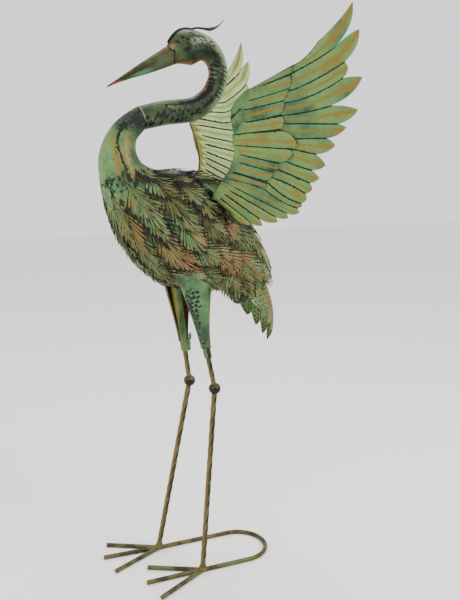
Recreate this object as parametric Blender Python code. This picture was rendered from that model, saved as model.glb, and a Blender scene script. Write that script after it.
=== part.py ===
# Garden heron of patinated sheet metal on welded steel rods, wings raised.
# Metres, +Z up. The bird looks along -X and its left side is at -Y.
# Heights are given from the plane of the foot rods' centre lines; stand_on_origin sets it down.
import bpy
import bmesh
from math import ceil, cos, exp, hypot, pi, radians, sin, sqrt
from mathutils import Vector

# Metal and fits
gap = 0.0003            # clearance between pieces that touch
coat_clearance = 0.0005  # clearance of wings, tail and thighs to the feather coat
sheet = 0.0012          # sheet metal of wings, tail, thighs and leg tubes
around = 40             # facets round the body and lower neck

# Feet: one rod bent into the rear loop ends in both middle toes
rod_d = 0.0094          # foot rod across flats
rod_sides = 8
foot_spacing = 0.122    # between the two rod runs
loop_end = 0.116        # where the rod runs pass into the loop's arc, along X
hubs = {"left": 0.0095, "right": -0.0465}  # where each foot's toes and shin meet, along X
arc_steps = 12
toe_lengths = {"left": {"middle": 0.1204, "inner": 0.1157, "outer": 0.1244},
               "right": {"middle": 0.1214, "inner": 0.1243, "outer": 0.1166}}
toe_angles = {"left": {"middle": 0.0, "inner": 27.9, "outer": -29.2},
              "right": {"middle": 3.0, "inner": -26.7, "outer": 28.4}}

# Legs: twisted square bar, a ball at each knee
shin_d = 0.0118         # twisted bar across corners, hub to knee
upper_d = 0.0108        # twisted bar across corners, knee to leg tube
bar_hollow = 0.84       # radius of the bar's flats as a share of its corners
twist_pitch = 0.110     # length of one full turn of the bar
bar_step = 0.0180       # length of one facet along a twisted bar
knee_ball_d = 0.0245
weld_height = 0.009
weld_swell = 1.35
knees = {"left": (0.0505, -0.030, 0.3787), "right": (0.0178, 0.030, 0.3832)}
hips = {"left": (-0.0010, -0.044, 0.6020), "right": (-0.0085, 0.040, 0.5980)}
tube_bottom = 0.305     # share of the way from knee to hip where the leg tube starts
bar_inside = 0.020      # length of the bar that is held in the leg tube
tube_bottom_r = 0.0078
tube_top_r = 0.0125
tube_rise = 0.020       # how far leg tubes and thighs run past the hip into the coat
tube_sides = 12

# Thighs: open cowls rolled round the outer side of each leg tube
cowl_bottom = 0.40      # share of the way from knee to hip where the cowl starts
cowl_length = 0.0330    # half length fore and aft at the hip
cowl_bulge = 0.0250     # half width outwards at the hip
cowl_back = 0.0065      # how far the cowl's middle lies behind the leg tube at the hip
cowl_flare = 1.4        # how late the cowl widens, 1 is a straight cone
cowl_rows = 4
cowl_wrap = 215.0       # degrees of the cowl's arc
cowl_steps = 12

# Trunk from the neck joint to the tail: x, z, half depth, half width, lean of the section
trunk_stations = [
    (-0.0855, 0.9138, 0.0222, 0.0222, -72.0),
    (-0.1156, 0.8881, 0.0252, 0.0250, -37.0),
    (-0.1299, 0.8503, 0.0335, 0.0320, -3.0),
    (-0.1204, 0.8123, 0.0450, 0.0430, 12.0),
    (-0.0945, 0.7782, 0.0675, 0.0560, 33.0),
    (-0.0505, 0.7405, 0.0965, 0.0700, 46.5),
    (-0.0020, 0.7042, 0.1105, 0.0760, 56.0),
    (0.0315, 0.6858, 0.1045, 0.0760, 60.5),
    (0.0733, 0.6627, 0.0840, 0.0690, 61.0),
    (0.1324, 0.6233, 0.0510, 0.0480, 58.0),
    (0.1740, 0.5900, 0.0140, 0.0200, 50.0),
]
neck_rings = 7
collar_start = 0.100    # distance from the joint at which the body starts inside the breast
hem_top = 0.124         # distance from the joint to the breast's hem at the back of the neck
hem_front = 0.172       # the same at the front of the breast
hem_rings = 3
hem_lobes = 10
hem_lobe = 0.015        # length of the hem's pointed lobes
hem_lift = 0.0015

# Coat of overlapping feather plates, in staggered rows
plates_round = 10
coat_rows = 8
coat_margin = 0.0221    # bare strip between the last row and the trunk's end
plate_point = 0.024     # how far a plate's point stands past its row
plate_lift = 0.0060     # how far a plate's point stands off the body
valley_lift = 0.0020
undercut = 0.004

# Upper neck and head: x, z, half height, half width
neck_stations = [
    (-0.0855, 0.9138, 0.0222, 0.0222),
    (-0.0398, 0.9245, 0.0229, 0.0229),
    (0.0138, 0.9317, 0.0223, 0.0222),
    (0.0402, 0.9448, 0.0211, 0.0210),
    (0.0610, 0.9660, 0.0202, 0.0200),
    (0.0725, 1.0000, 0.0189, 0.0190),
    (0.0640, 1.0300, 0.0200, 0.0195),
    (0.0420, 1.0470, 0.0246, 0.0225),
    (0.0111, 1.0466, 0.0330, 0.0250),
    (-0.0054, 1.0405, 0.0288, 0.0220),
    (-0.0213, 1.0311, 0.0186, 0.0160),
]
head_facets = 16
upper_neck_rings = 21
joint_gap = 0.0012      # the open joint between the two neck pieces

# Beak: x, z, half height, half width
beak_stations = [
    (-0.0213, 1.0311, 0.0183, 0.0155),
    (-0.0721, 1.0061, 0.0121, 0.0090),
    (-0.1101, 0.9880, 0.0058, 0.0050),
    (-0.1474, 0.9686, 0.0010, 0.0012),
]
beak_facets = 12
beak_rings = 6

# Crest: a flat plume that follows the head's top and springs free behind it
crest_half_width = 0.0028
crest_half_thick = 0.0014
crest_tip_thick = 0.0006
crest_front_share = 0.985  # share of the upper neck's length where the plume starts
crest_free_share = 0.820   # share where it leaves the head
crest_on_head = 8
crest_tail = [(0.0440, 1.0825), (0.0560, 1.0822), (0.0710, 1.0880), (0.0871, 1.1028)]

# Wings: nine guide ribs from the wrist to the root, each with its x, z on the leading edge,
# on the border between coverts and flight feathers, and on the line of the feather tips
wing_ribs = [
    ((0.065, 0.963), (0.150, 1.002), (0.225, 1.102)),
    ((0.055, 0.941), (0.148, 0.962), (0.249, 1.010)),
    ((0.056, 0.912), (0.142, 0.925), (0.262, 0.930)),
    ((0.065, 0.884), (0.152, 0.893), (0.236, 0.864)),
    ((0.070, 0.857), (0.166, 0.868), (0.216, 0.804)),
    ((0.067, 0.832), (0.161, 0.842), (0.201, 0.765)),
    ((0.060, 0.811), (0.143, 0.812), (0.191, 0.738)),
    ((0.049, 0.790), (0.120, 0.775), (0.157, 0.721)),
    ((0.038, 0.772), (0.078, 0.738), (0.107, 0.711)),
]
wing_feathers = 17
wing_out_base = -0.1725  # the wing's plane: distance from the middle plane at x = z = 0
wing_slope_back = 0.479  # and how fast it grows backwards
wing_slope_up = 0.271    # and upwards
notch_long = 0.36        # notch between the longest feathers, as a share of their length
notch_short = 0.12
feather_ridge = 0.0016
covert_step = 0.0016
edge_roll = 0.0030       # how far the leading edge rolls inwards
edge_roll_width = 0.014
wrist_bulge = 0.0125     # how far the wrist stands outside the wing's plane
wrist_share = 0.75       # how far along the leading edge the bulge fades out

# Feather shape, shared by wings and tail
feather_ribs = 4         # ribs from one feather's border to the next
middle_rib = 2           # the rib along a feather's middle
shoulder_width = 1.45    # ribs' distance of a feather's shoulder from its middle, 2 is its full width
feather_sweep = 0.8      # ribs by which borders and shoulders lie below the line of the tips
shoulder_back = 0.40     # how far the shoulder lies behind the tip, as a share of the notch

# Tail: an arched fan of hanging feathers
tail_feathers = 9
tail_half_width = 0.066
tail_narrow = 0.80       # width at the roots as a share of the width at the tips
tail_root = (0.158, 0.622)
tail_root_drop = (0.078, 0.044)   # how far the outer feathers' roots lie forward and down
tail_tip = (0.184, 0.462)
tail_tip_rise = (0.044, 0.0700)   # how far the outer tips lie forward and up
tail_bulge = 0.018
tail_rows = 3
tail_notch = 0.13
tail_ridge = 0.0014

# Finishes: linear colour, roughness, metallic
verdigris_sheet = ((0.30, 0.45, 0.33, 1.0), 0.50, 0.4)
feather_coat = ((0.30, 0.31, 0.19, 1.0), 0.55, 0.4)
steel_bar = ((0.16, 0.15, 0.09, 1.0), 0.50, 0.5)
beak_sheet = ((0.28, 0.30, 0.17, 1.0), 0.50, 0.4)
crest_paint = ((0.02, 0.02, 0.015, 1.0), 0.50, 0.2)


def clear_scene():
    for item in list(bpy.data.objects):
        bpy.data.objects.remove(item, do_unlink=True)


def make_material(name, look):
    colour, roughness, metallic = look
    material = bpy.data.materials.new(name)
    material.use_nodes = True
    shader = material.node_tree.nodes["Principled BSDF"]
    shader.inputs["Base Color"].default_value = colour
    shader.inputs["Roughness"].default_value = roughness
    shader.inputs["Metallic"].default_value = metallic
    return material


def add_piece(name, mesh_data, look, root):
    mesh = bpy.data.meshes.new(name)
    bmesh.ops.recalc_face_normals(mesh_data, faces=mesh_data.faces)
    mesh_data.to_mesh(mesh)
    mesh_data.free()
    mesh.materials.append(make_material(name + "_finish", look))
    piece = bpy.data.objects.new(name, mesh)
    piece.parent = root
    bpy.context.collection.objects.link(piece)
    return piece


def subtract(piece, cutter):
    cut = piece.modifiers.new("clearance", "BOOLEAN")
    cut.operation = "DIFFERENCE"
    cut.solver = "EXACT"
    cut.object = cutter


def make_guide(piece):
    piece.hide_render = True
    piece.display_type = "WIRE"
    return piece


def outward(side):
    return -1.0 if side == "left" else 1.0


def mix(low, high, share):
    return tuple(a + (b - a) * share for a, b in zip(low, high))


def through(points, steps=16):
    # A smooth line through the points: each span is a Catmull-Rom curve in equal steps.
    line = []
    last = len(points) - 1
    for span in range(last):
        p = [points[min(max(span + k, 0), last)] for k in (-1, 0, 1, 2)]
        for step in range(steps):
            t = step / steps
            line.append(tuple(
                b + 0.5 * t * (c - a + t * (2 * a - 5 * b + 4 * c - d + t * (3 * (b - c) + d - a)))
                for a, b, c, d in zip(*p)))
    line.append(tuple(points[last]))
    return line


def lengths(line):
    total = [0.0]
    for one, two in zip(line, line[1:]):
        total.append(total[-1] + hypot(two[0] - one[0], two[1] - one[1]))
    return total


def at_distance(line, total, distance):
    for index in range(1, len(line)):
        if distance <= total[index] or index == len(line) - 1:
            span = total[index] - total[index - 1]
            return mix(line[index - 1], line[index], (distance - total[index - 1]) / span)


def at_share(points, share):
    # The point at a share of the way along a list of evenly numbered guide points.
    line = through(points)
    place = share * (len(line) - 1)
    index = max(0, min(int(place), len(line) - 2))
    return mix(line[index], line[index + 1], place - index)


def skin(loops, joined=False):
    # Quads between closed loops of equal size; the ends get flat caps, or are joined to each other.
    mesh_data = bmesh.new()
    rows = [[mesh_data.verts.new(point) for point in loop] for loop in loops]
    pairs = zip(rows, rows[1:] + rows[:1]) if joined else zip(rows, rows[1:])
    for one, two in pairs:
        for k in range(len(one)):
            after = (k + 1) % len(one)
            mesh_data.faces.new((one[k], one[after], two[after], two[k]))
    if not joined:
        mesh_data.faces.new(rows[0])
        mesh_data.faces.new(rows[-1])
    return mesh_data


def plate(front, back):
    # A closed sheet between two grids of points of the same size.
    rim = ([(0, k) for k in range(len(front[0]))]
           + [(r, len(front[0]) - 1) for r in range(1, len(front))]
           + [(len(front) - 1, k) for k in range(len(front[0]) - 2, -1, -1)]
           + [(r, 0) for r in range(len(front) - 2, 0, -1)])
    mesh_data = bmesh.new()
    faces = [[[mesh_data.verts.new(p) for p in row] for row in grid] for grid in (front, back)]
    for grid in faces:
        for one, two in zip(grid, grid[1:]):
            for k in range(len(one) - 1):
                mesh_data.faces.new((one[k], one[k + 1], two[k + 1], two[k]))
    for (r, k), (s, m) in zip(rim, rim[1:] + rim[:1]):
        mesh_data.faces.new((faces[0][r][k], faces[0][s][m], faces[1][s][m], faces[1][r][k]))
    return mesh_data


def sweep(path, section):
    # A flat-lying rod: section gives (sideways, up) pairs, corners are mitred.
    loops = []
    for index, point in enumerate(path):
        before = (point - path[index - 1]).normalized() if index else None
        after = (path[index + 1] - point).normalized() if index + 1 < len(path) else None
        run = ((before or after) + (after or before)).normalized()
        mitre = 1.0 / run.dot(after or before)
        side = Vector((-run.y, run.x, 0.0)) * mitre
        loops.append([point + side * s + Vector((0, 0, u)) for s, u in section])
    return skin(loops)


def rod_section():
    corner = rod_d / 2 / cos(pi / rod_sides)
    turn = 2 * pi / rod_sides
    return [(corner * cos(turn * (k + 0.5)), corner * sin(turn * (k + 0.5))) for k in range(rod_sides)]


def hub(side):
    return Vector((hubs[side], outward(side) * foot_spacing / 2, 0.0))


def toe_direction(degrees):
    return Vector((-cos(radians(degrees)), sin(radians(degrees)), 0.0))


def foot_loop(root):
    left, right = hub("left"), hub("right")
    tips = []
    for side in ("left", "right"):
        tips.append(hub(side) + toe_direction(toe_angles[side]["middle"]) * toe_lengths[side]["middle"])
    radius = foot_spacing / 2
    arc = [Vector((loop_end + radius * sin(pi * k / arc_steps), -radius * cos(pi * k / arc_steps), 0.0))
           for k in range(arc_steps + 1)]
    return add_piece("foot_loop", sweep([tips[0], left] + arc + [right, tips[1]], rod_section()),
                     steel_bar, root)


def side_toe(side, which, root):
    # A side toe is mitred against the middle toe, where it is welded on.
    length = toe_lengths[side][which]
    run = toe_direction(toe_angles[side][which])
    middle = toe_direction(toe_angles[side]["middle"])
    across = Vector((-middle.y, middle.x, 0.0))
    if across.dot(run) < 0:
        across = -across
    sideways = Vector((-run.y, run.x, 0.0))
    start = []
    for s, u in rod_section():
        corner = sideways * s + Vector((0, 0, u))
        reach = (rod_d / 2 + gap - corner.dot(across)) / run.dot(across)
        start.append(hub(side) + corner + run * reach)
    end = [hub(side) + run * length + sideways * s + Vector((0, 0, u)) for s, u in rod_section()]
    return add_piece("toe_" + side + "_" + which, skin([start, end]), steel_bar, root)


def bar_loop(centre, axis, diameter, angle):
    # One section of the twisted bar: four corners with slightly hollow flats between them.
    sideways = axis.cross(Vector((1, 0, 0))).normalized()
    third = axis.cross(sideways)
    loop = []
    for k in range(8):
        radius = diameter / 2 * (1.0 if k % 2 == 0 else bar_hollow)
        turn = angle + k * pi / 4
        loop.append(centre + sideways * radius * cos(turn) + third * radius * sin(turn))
    return loop


def twisted_bar(start, end, diameter):
    run = end - start
    axis = run.normalized()
    count = max(2, ceil(run.length / bar_step))
    return [bar_loop(start + run * k / count, axis, diameter, 2 * pi * run.length * k / count / twist_pitch)
            for k in range(count + 1)]


def flat_distance(diameter):
    # How far from the ball's centre a bar of this diameter meets it.
    return sqrt((knee_ball_d / 2) ** 2 - (diameter / 2) ** 2)


def leg_axis(side):
    knee, hip = Vector(knees[side]), Vector(hips[side])
    return knee, hip, (hip - knee).normalized()


def shin_foot(side):
    return hub(side) + Vector((0, 0, rod_d / 2 + gap))


def shin(side, root):
    # The lowest sections are cut level on the foot rod and swell into the weld.
    knee = Vector(knees[side])
    foot = shin_foot(side)
    axis = (knee - foot).normalized()
    top = knee - axis * (flat_distance(shin_d) + gap)
    loops = twisted_bar(foot + axis * weld_height, top, shin_d)
    weld = []
    for point in bar_loop(foot, axis, shin_d * weld_swell, 0.0):
        weld.append(point - axis * ((point.z - foot.z) / axis.z))
    return add_piece("shin_" + side, skin([weld] + loops), steel_bar, root)


def knee_ball(side, root):
    knee, hip, up = leg_axis(side)
    down = (shin_foot(side) - knee).normalized()
    mesh_data = bmesh.new()
    bmesh.ops.create_uvsphere(mesh_data, u_segments=12, v_segments=7, radius=knee_ball_d / 2)
    bmesh.ops.translate(mesh_data, verts=mesh_data.verts, vec=knee)
    for axis, diameter in ((up, upper_d), (down, shin_d)):
        cut = bmesh.ops.bisect_plane(
            mesh_data, geom=mesh_data.verts[:] + mesh_data.edges[:] + mesh_data.faces[:],
            plane_co=knee + axis * flat_distance(diameter), plane_no=axis, clear_outer=True)
        rim = [item for item in cut["geom_cut"] if isinstance(item, bmesh.types.BMEdge)]
        bmesh.ops.contextual_create(mesh_data, geom=rim)
    return add_piece("knee_" + side, mesh_data, steel_bar, root)


def upper_bar(side, root):
    knee, hip, axis = leg_axis(side)
    length = (hip - knee).length * tube_bottom + bar_inside
    loops = twisted_bar(knee + axis * (flat_distance(upper_d) + gap), knee + axis * length, upper_d)
    return add_piece("upper_bar_" + side, skin(loops), steel_bar, root)


def level_ring(centre, radius, sides):
    return [centre + Vector((radius * cos(2 * pi * k / sides), radius * sin(2 * pi * k / sides), 0.0))
            for k in range(sides)]


def leg_point(side, share):
    knee, hip, axis = leg_axis(side)
    return knee + (hip - knee) * share


def leg_end(side):
    knee, hip, axis = leg_axis(side)
    return 1.0 + tube_rise / (hip - knee).length


def tube_radius(side, share):
    return mix((tube_bottom_r,), (tube_top_r,), (share - tube_bottom) / (leg_end(side) - tube_bottom))[0]


def leg_tube(side, root):
    # A rolled conical tube, open at both ends: outer wall up, inner wall down.
    low, high = leg_point(side, tube_bottom), leg_point(side, leg_end(side))
    outer_wall = [(low, tube_bottom_r), (high, tube_top_r)]
    walls = outer_wall + [(centre, radius - sheet) for centre, radius in reversed(outer_wall)]
    loops = [level_ring(centre, radius, tube_sides) for centre, radius in walls]
    return add_piece("leg_tube_" + side, skin(loops, joined=True), verdigris_sheet, root)


def thigh(side, root):
    # The cowl hugs the tube at its foot and opens upwards; its slot faces the other leg.
    outer, inner = [], []
    for row in range(cowl_rows + 1):
        share = cowl_bottom + (leg_end(side) - cowl_bottom) * row / cowl_rows
        opened = max(0.0, (share - cowl_bottom) / (1.0 - cowl_bottom)) ** cowl_flare
        hug = tube_radius(side, cowl_bottom) + coat_clearance
        centre = leg_point(side, share) + Vector((cowl_back * opened, 0, 0))
        for grid, wall in ((outer, sheet), (inner, 0.0)):
            half_x = mix((hug,), (cowl_length - sheet,), opened)[0] + wall
            half_y = mix((hug,), (cowl_bulge - sheet,), opened)[0] + wall
            line = []
            for k in range(cowl_steps + 1):
                turn = radians(90.0 + cowl_wrap * (k / cowl_steps - 0.5))
                line.append(centre + Vector((half_x * cos(turn), outward(side) * half_y * sin(turn), 0.0)))
            grid.append(line)
    return add_piece("thigh_" + side, plate(outer, inner), verdigris_sheet, root)


trunk_line = through(trunk_stations)
trunk_lengths = lengths(trunk_line)
coat_end = trunk_lengths[-1] - coat_margin  # distance from the joint to the last row


def trunk_point(distance, angle, lift):
    x, z, depth, width, lean = at_distance(trunk_line, trunk_lengths, distance)
    normal_up = sin(angle) / depth
    normal_side = cos(angle) / width
    size = hypot(normal_up, normal_side)
    up = depth * sin(angle) + lift * normal_up / size
    side = width * cos(angle) + lift * normal_side / size
    return Vector((x + up * cos(radians(lean)), side, z + up * sin(radians(lean))))


def trunk_angle(k):
    return pi / 2 + 2 * pi * k / around


def hem_distance(angle):
    return mix((hem_top,), (hem_front,), 0.5 - 0.5 * sin(angle))[0]


def collar_loop(row, lift):
    # Rows of the surface under the breast piece, from the body's start to the hem.
    loop = []
    for k in range(around):
        hem = hem_distance(trunk_angle(k))
        distance = collar_start + (hem - collar_start) * row / hem_rings
        loop.append(trunk_point(distance, trunk_angle(k), lift))
    return loop


def point_share(k, per_plate):
    # 0 in the valley between two points, 1 on the point.
    return 1.0 - abs((k % per_plate) - per_plate / 2) / (per_plate / 2)


def lower_neck(root):
    skin_lift = gap + sheet
    outer = []
    for ring in range(neck_rings):
        share = ring / neck_rings
        outer.append([trunk_point(collar_start * share, trunk_angle(k), skin_lift * share)
                      for k in range(around)])
    for row in range(hem_rings + 1):
        outer.append(collar_loop(row, skin_lift))
    tips = []
    for lift in (skin_lift + hem_lift, gap + hem_lift):
        loop = []
        for k in range(around):
            reach = hem_lobe * (0.3 + 0.7 * point_share(k, around // hem_lobes))
            loop.append(trunk_point(hem_distance(trunk_angle(k)) + reach, trunk_angle(k), lift))
        tips.append(loop)
    inner = [collar_loop(row, gap) for row in range(hem_rings, 0, -1)]
    end = [trunk_point(collar_start - gap, trunk_angle(k), gap) for k in range(around)]
    return add_piece("lower_neck", skin(outer + tips + inner + [end]), verdigris_sheet, root)


def plate_edge(row, k):
    # Distance and lift of one row's edge, and the distance of the foot under it, where the next
    # row comes out; odd rows are shifted by half a plate.
    per_plate = around // plates_round
    share = point_share(k + (per_plate // 2) * (row % 2), per_plate)
    angle = trunk_angle(k)
    distance = mix((hem_distance(angle),), (coat_end,), row / coat_rows)[0] + plate_point * share
    foot = distance - undercut - 0.5 * plate_point * share
    return distance, valley_lift + (plate_lift - valley_lift) * share, foot


def body_loops(clearance):
    # With a clearance the space under the plates is filled, so that a cutter leaves no slivers.
    loops = [[trunk_point(collar_start, trunk_angle(k), clearance) for k in range(around)]]
    loops += [collar_loop(row, clearance) for row in range(1, hem_rings + 1)]
    loops.append([trunk_point(hem_distance(trunk_angle(k)) + hem_lobe + undercut, trunk_angle(k), clearance)
                  for k in range(around)])
    for row in range(1, coat_rows + 1):
        edge, under = [], []
        for k in range(around):
            distance, lift, foot = plate_edge(row, k)
            edge.append(trunk_point(distance + clearance, trunk_angle(k), lift + clearance))
            if clearance:
                ahead, rise, next_foot = plate_edge(row + 1, k)
                climb = rise * (distance + 2 * clearance - foot) / (ahead - foot)
                under.append(trunk_point(distance + 2 * clearance, trunk_angle(k), climb + clearance))
            else:
                under.append(trunk_point(foot, trunk_angle(k), 0.0))
        loops += [edge, under]
    last = trunk_lengths[-1] + clearance
    loops.append([trunk_point(last, trunk_angle(k), clearance) for k in range(around)])
    return loops


upper_neck_line = through(neck_stations)
upper_neck_lengths = lengths(upper_neck_line)


def bend_frame(line, total, distance):
    # Centre, run and outer side of a bent tube in the middle plane.
    step = 0.001
    x, z, height, width = at_distance(line, total, distance)
    before = at_distance(line, total, max(distance - step, 0.0))
    after = at_distance(line, total, min(distance + step, total[-1]))
    run = Vector((after[0] - before[0], 0.0, after[1] - before[1])).normalized()
    top = Vector((-run.z, 0.0, run.x))
    return Vector((x, 0.0, z)), run, top, height, width


def section_loop(centre, top, height, width, facets):
    return [centre + top * height * cos(2 * pi * k / facets)
            + Vector((0, width * sin(2 * pi * k / facets), 0)) for k in range(facets)]


def bent_tube(stations, start, end, rings, facets):
    line = through(stations)
    total = lengths(line)
    loops = []
    for ring in range(rings + 1):
        distance = start + (total[-1] - end - start) * ring / rings
        centre, run, top, height, width = bend_frame(line, total, distance)
        loops.append(section_loop(centre, top, height, width, facets))
    return loops


def upper_neck(root):
    # Its first section lies parallel to the open end of the lower neck.
    loops = bent_tube(neck_stations, joint_gap, 0.0, upper_neck_rings, head_facets)
    x, z, height, width, lean = trunk_stations[0]
    top = Vector((-cos(radians(lean)), 0.0, -sin(radians(lean))))
    centre = Vector((x, 0.0, z)) + Vector((top.z, 0.0, -top.x)) * joint_gap
    loops[0] = section_loop(centre, top, height, width, head_facets)
    return add_piece("upper_neck", skin(loops), verdigris_sheet, root)


def beak(root):
    # Its base lies parallel to the open end of the head.
    loops = bent_tube(beak_stations, 0.0, 0.0, beak_rings, beak_facets)
    head_end = upper_neck_lengths[-1]
    centre, run, top, height, width = bend_frame(upper_neck_line, upper_neck_lengths, head_end)
    height, width = beak_stations[0][2:]
    loops[0] = section_loop(centre + run * gap, top, height, width, beak_facets)
    return add_piece("beak", skin(loops), beak_sheet, root)


def crest(root):
    path = []
    for step in range(crest_on_head + 1):
        share = crest_front_share + (crest_free_share - crest_front_share) * step / crest_on_head
        centre, run, top, height, width = bend_frame(
            upper_neck_line, upper_neck_lengths, upper_neck_lengths[-1] * share)
        path.append(centre - top * (height + coat_clearance + crest_half_thick))
    attached = len(path)
    path += [Vector((x, 0.0, z)) for x, z in through(crest_tail, 3)]
    loops = []
    for index, point in enumerate(path):
        run = (path[min(index + 1, len(path) - 1)] - path[max(index - 1, 0)]).normalized()
        rise = Vector((-run.z, 0.0, run.x))
        fade = max(0.0, (index - attached) / (len(path) - 1 - attached))
        thick = mix((crest_half_thick,), (crest_tip_thick,), fade)[0]
        wide = mix((crest_half_width,), (crest_tip_thick,), fade)[0]
        loops.append([point + rise * thick * a + Vector((0, wide * b, 0))
                      for a, b in ((1, 1), (1, -1), (-1, -1), (-1, 1))])
    return add_piece("crest", skin(loops), crest_paint, root)


def wing_point(place, height, side):
    # A place on the wing's plane, raised along the plane's outward normal.
    x, z = place
    out = wing_out_base + wing_slope_back * x + wing_slope_up * z
    normal = Vector((-wing_slope_back, outward(side), -wing_slope_up)).normalized()
    return Vector((x, outward(side) * out, z)) + normal * height


def feather_rib(rib, feathers):
    # Each feather has four ribs: its border, a shoulder, its middle and the other shoulder.
    # Gives the ridge's share there, and the place across the fan.
    part = rib % feather_ribs
    middle = rib - part + middle_rib
    across = rib if part in (0, middle_rib) else middle + (part - middle_rib) * shoulder_width
    if part != middle_rib:
        across += feather_sweep
    place = (across - middle_rib) / (feather_ribs * (feathers - 1))
    return (0.0, 0.55, 1.0, 0.55)[part], min(max(place, 0.0), 1.0)


def feather_end(rib, start, tip, notch):
    # Borders stop at the notch and shoulders near the tip, so that the feather ends in a leaf point.
    return mix(tip, start, (notch, notch * shoulder_back, 0.0, notch * shoulder_back)[rib % feather_ribs])


def wing(side, root):
    edges, borders, tips = ([rib[k] for rib in wing_ribs] for k in range(3))
    last = feather_ribs * wing_feathers
    front, back = [], []
    for rib in range(last + 1):
        ridge_share, share = feather_rib(rib, wing_feathers)
        edge, border = (at_share(line, rib / last) for line in (edges, borders))
        notch = mix((notch_long,), (notch_short,), rib / last)[0]
        tip = feather_end(rib, border, at_share(tips, share), notch)
        ridge = feather_ridge * ridge_share
        reach = hypot(border[0] - edge[0], border[1] - edge[1])
        rolled = min(edge_roll_width / reach, 0.5)
        wrist = wrist_bulge * exp(-(rib / last / wrist_share) ** 2)
        stations = [
            (edge, wrist - edge_roll),
            (mix(edge, border, rolled), wrist),
            (border, covert_step + ridge),
            (mix(border, tip, 0.04), ridge * 0.5),
            (tip, 0.0),
        ]
        front.append([wing_point(place, height, side) for place, height in stations])
        back.append([wing_point(place, height - sheet, side) for place, height in stations])
    return add_piece("wing_" + side, plate(front, back), verdigris_sheet, root)


def tail(root):
    last = feather_ribs * tail_feathers
    front, back = [], []
    for rib in range(last + 1):
        ridge_share, place = feather_rib(rib, tail_feathers)
        v, spread = 2 * rib / last - 1.0, 2 * place - 1.0
        start = (tail_root[0] - tail_root_drop[0] * v * v, tail_half_width * v * tail_narrow,
                 tail_root[1] - tail_root_drop[1] * v * v)
        tip = (tail_tip[0] - tail_tip_rise[0] * spread * spread, tail_half_width * spread,
               tail_tip[1] + tail_tip_rise[1] * abs(spread) ** 1.4)
        tip = feather_end(rib, start, tip, tail_notch)
        outer, inner = [], []
        for row in range(tail_rows + 1):
            share = row / tail_rows
            bulge = tail_bulge * sin(pi * share) * (1.0 - 0.5 * v * v)
            point = Vector(mix(start, tip, share)) + Vector((bulge + tail_ridge * ridge_share, 0.0, 0.0))
            outer.append(point)
            inner.append(point - Vector((sheet, 0.0, 0.0)))
        front.append(outer)
        back.append(inner)
    return add_piece("tail", plate(front, back), verdigris_sheet, root)


def smooth_faces(piece):
    piece.data.shade_smooth()
    piece.data.set_sharp_from_angle(angle=radians(35.0))


def stand_on_origin(root, pieces):
    # The origin is on the ground under the middle of the whole bird.
    depsgraph = bpy.context.evaluated_depsgraph_get()
    corners = []
    for piece in pieces:
        shown = piece.evaluated_get(depsgraph)
        corners += [shown.matrix_world @ Vector(corner) for corner in shown.bound_box]
    low = Vector([min(corner[k] for corner in corners) for k in range(3)])
    high = Vector([max(corner[k] for corner in corners) for k in range(3)])
    root.location = Vector((-(low.x + high.x) / 2, -(low.y + high.y) / 2, -low.z))


def build():
    clear_scene()
    root = bpy.data.objects.new("heron", None)
    bpy.context.collection.objects.link(root)
    body = add_piece("body", skin(body_loops(0.0)), feather_coat, root)
    room = make_guide(add_piece("coat_room", skin(body_loops(coat_clearance)), feather_coat, root))
    fan = tail(root)
    subtract(fan, room)
    pieces = [body, lower_neck(root), upper_neck(root), beak(root), crest(root), fan, foot_loop(root)]
    for side in ("left", "right"):
        reaching = [wing(side, root), thigh(side, root), leg_tube(side, root)]
        for piece in reaching:
            subtract(piece, room)
        pieces += reaching + [upper_bar(side, root), knee_ball(side, root), shin(side, root)]
        pieces += [side_toe(side, which, root) for which in ("inner", "outer")]
    for piece in pieces:
        smooth_faces(piece)
    stand_on_origin(root, pieces)


build()
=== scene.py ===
import random
from math import ceil, cos, exp, hypot, pi, radians, sin, sqrt

import bmesh
import bpy
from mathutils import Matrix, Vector, noise


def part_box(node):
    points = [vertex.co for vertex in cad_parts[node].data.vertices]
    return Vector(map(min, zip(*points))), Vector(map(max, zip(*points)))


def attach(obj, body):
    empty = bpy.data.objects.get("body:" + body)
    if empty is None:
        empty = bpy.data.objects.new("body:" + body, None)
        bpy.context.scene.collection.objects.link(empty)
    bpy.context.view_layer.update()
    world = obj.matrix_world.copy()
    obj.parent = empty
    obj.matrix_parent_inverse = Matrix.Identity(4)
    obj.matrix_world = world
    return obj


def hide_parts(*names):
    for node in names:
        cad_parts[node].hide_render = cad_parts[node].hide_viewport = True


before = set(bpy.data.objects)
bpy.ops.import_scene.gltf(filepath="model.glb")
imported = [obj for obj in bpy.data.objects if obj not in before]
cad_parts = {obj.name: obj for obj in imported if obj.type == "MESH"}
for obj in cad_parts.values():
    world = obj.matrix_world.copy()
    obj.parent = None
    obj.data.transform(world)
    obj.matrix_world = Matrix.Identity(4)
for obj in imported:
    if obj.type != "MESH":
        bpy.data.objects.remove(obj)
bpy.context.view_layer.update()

# A heron of sheet metal on welded bars. It looks along -X, its left side is at -Y.

print("stage: place in the frame")
feet = {
    "rod": 0.0094, "spacing": 0.122, "loopEnd": 0.116, "sides": 20, "arcSteps": 40,
    "hubs": {"left": 0.0095, "right": -0.0465}, "seed": 3,
    "weldUp": 0.0035, "weldRadii": (0.0098, 0.0092, 0.0052),
    "beadOut": 0.0125, "beadUp": 0.0005, "beadRadii": (0.0052, 0.0046, 0.0038),
    "toes": {"left": {"middle": (0.1204, 0.0), "inner": (0.1157, 27.9), "outer": (0.1244, -29.2)},
             "right": {"middle": (0.1214, 3.0), "inner": (0.1243, -26.7), "outer": (0.1166, 28.4)}},
}
loopLow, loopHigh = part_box("foot_loop")
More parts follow.
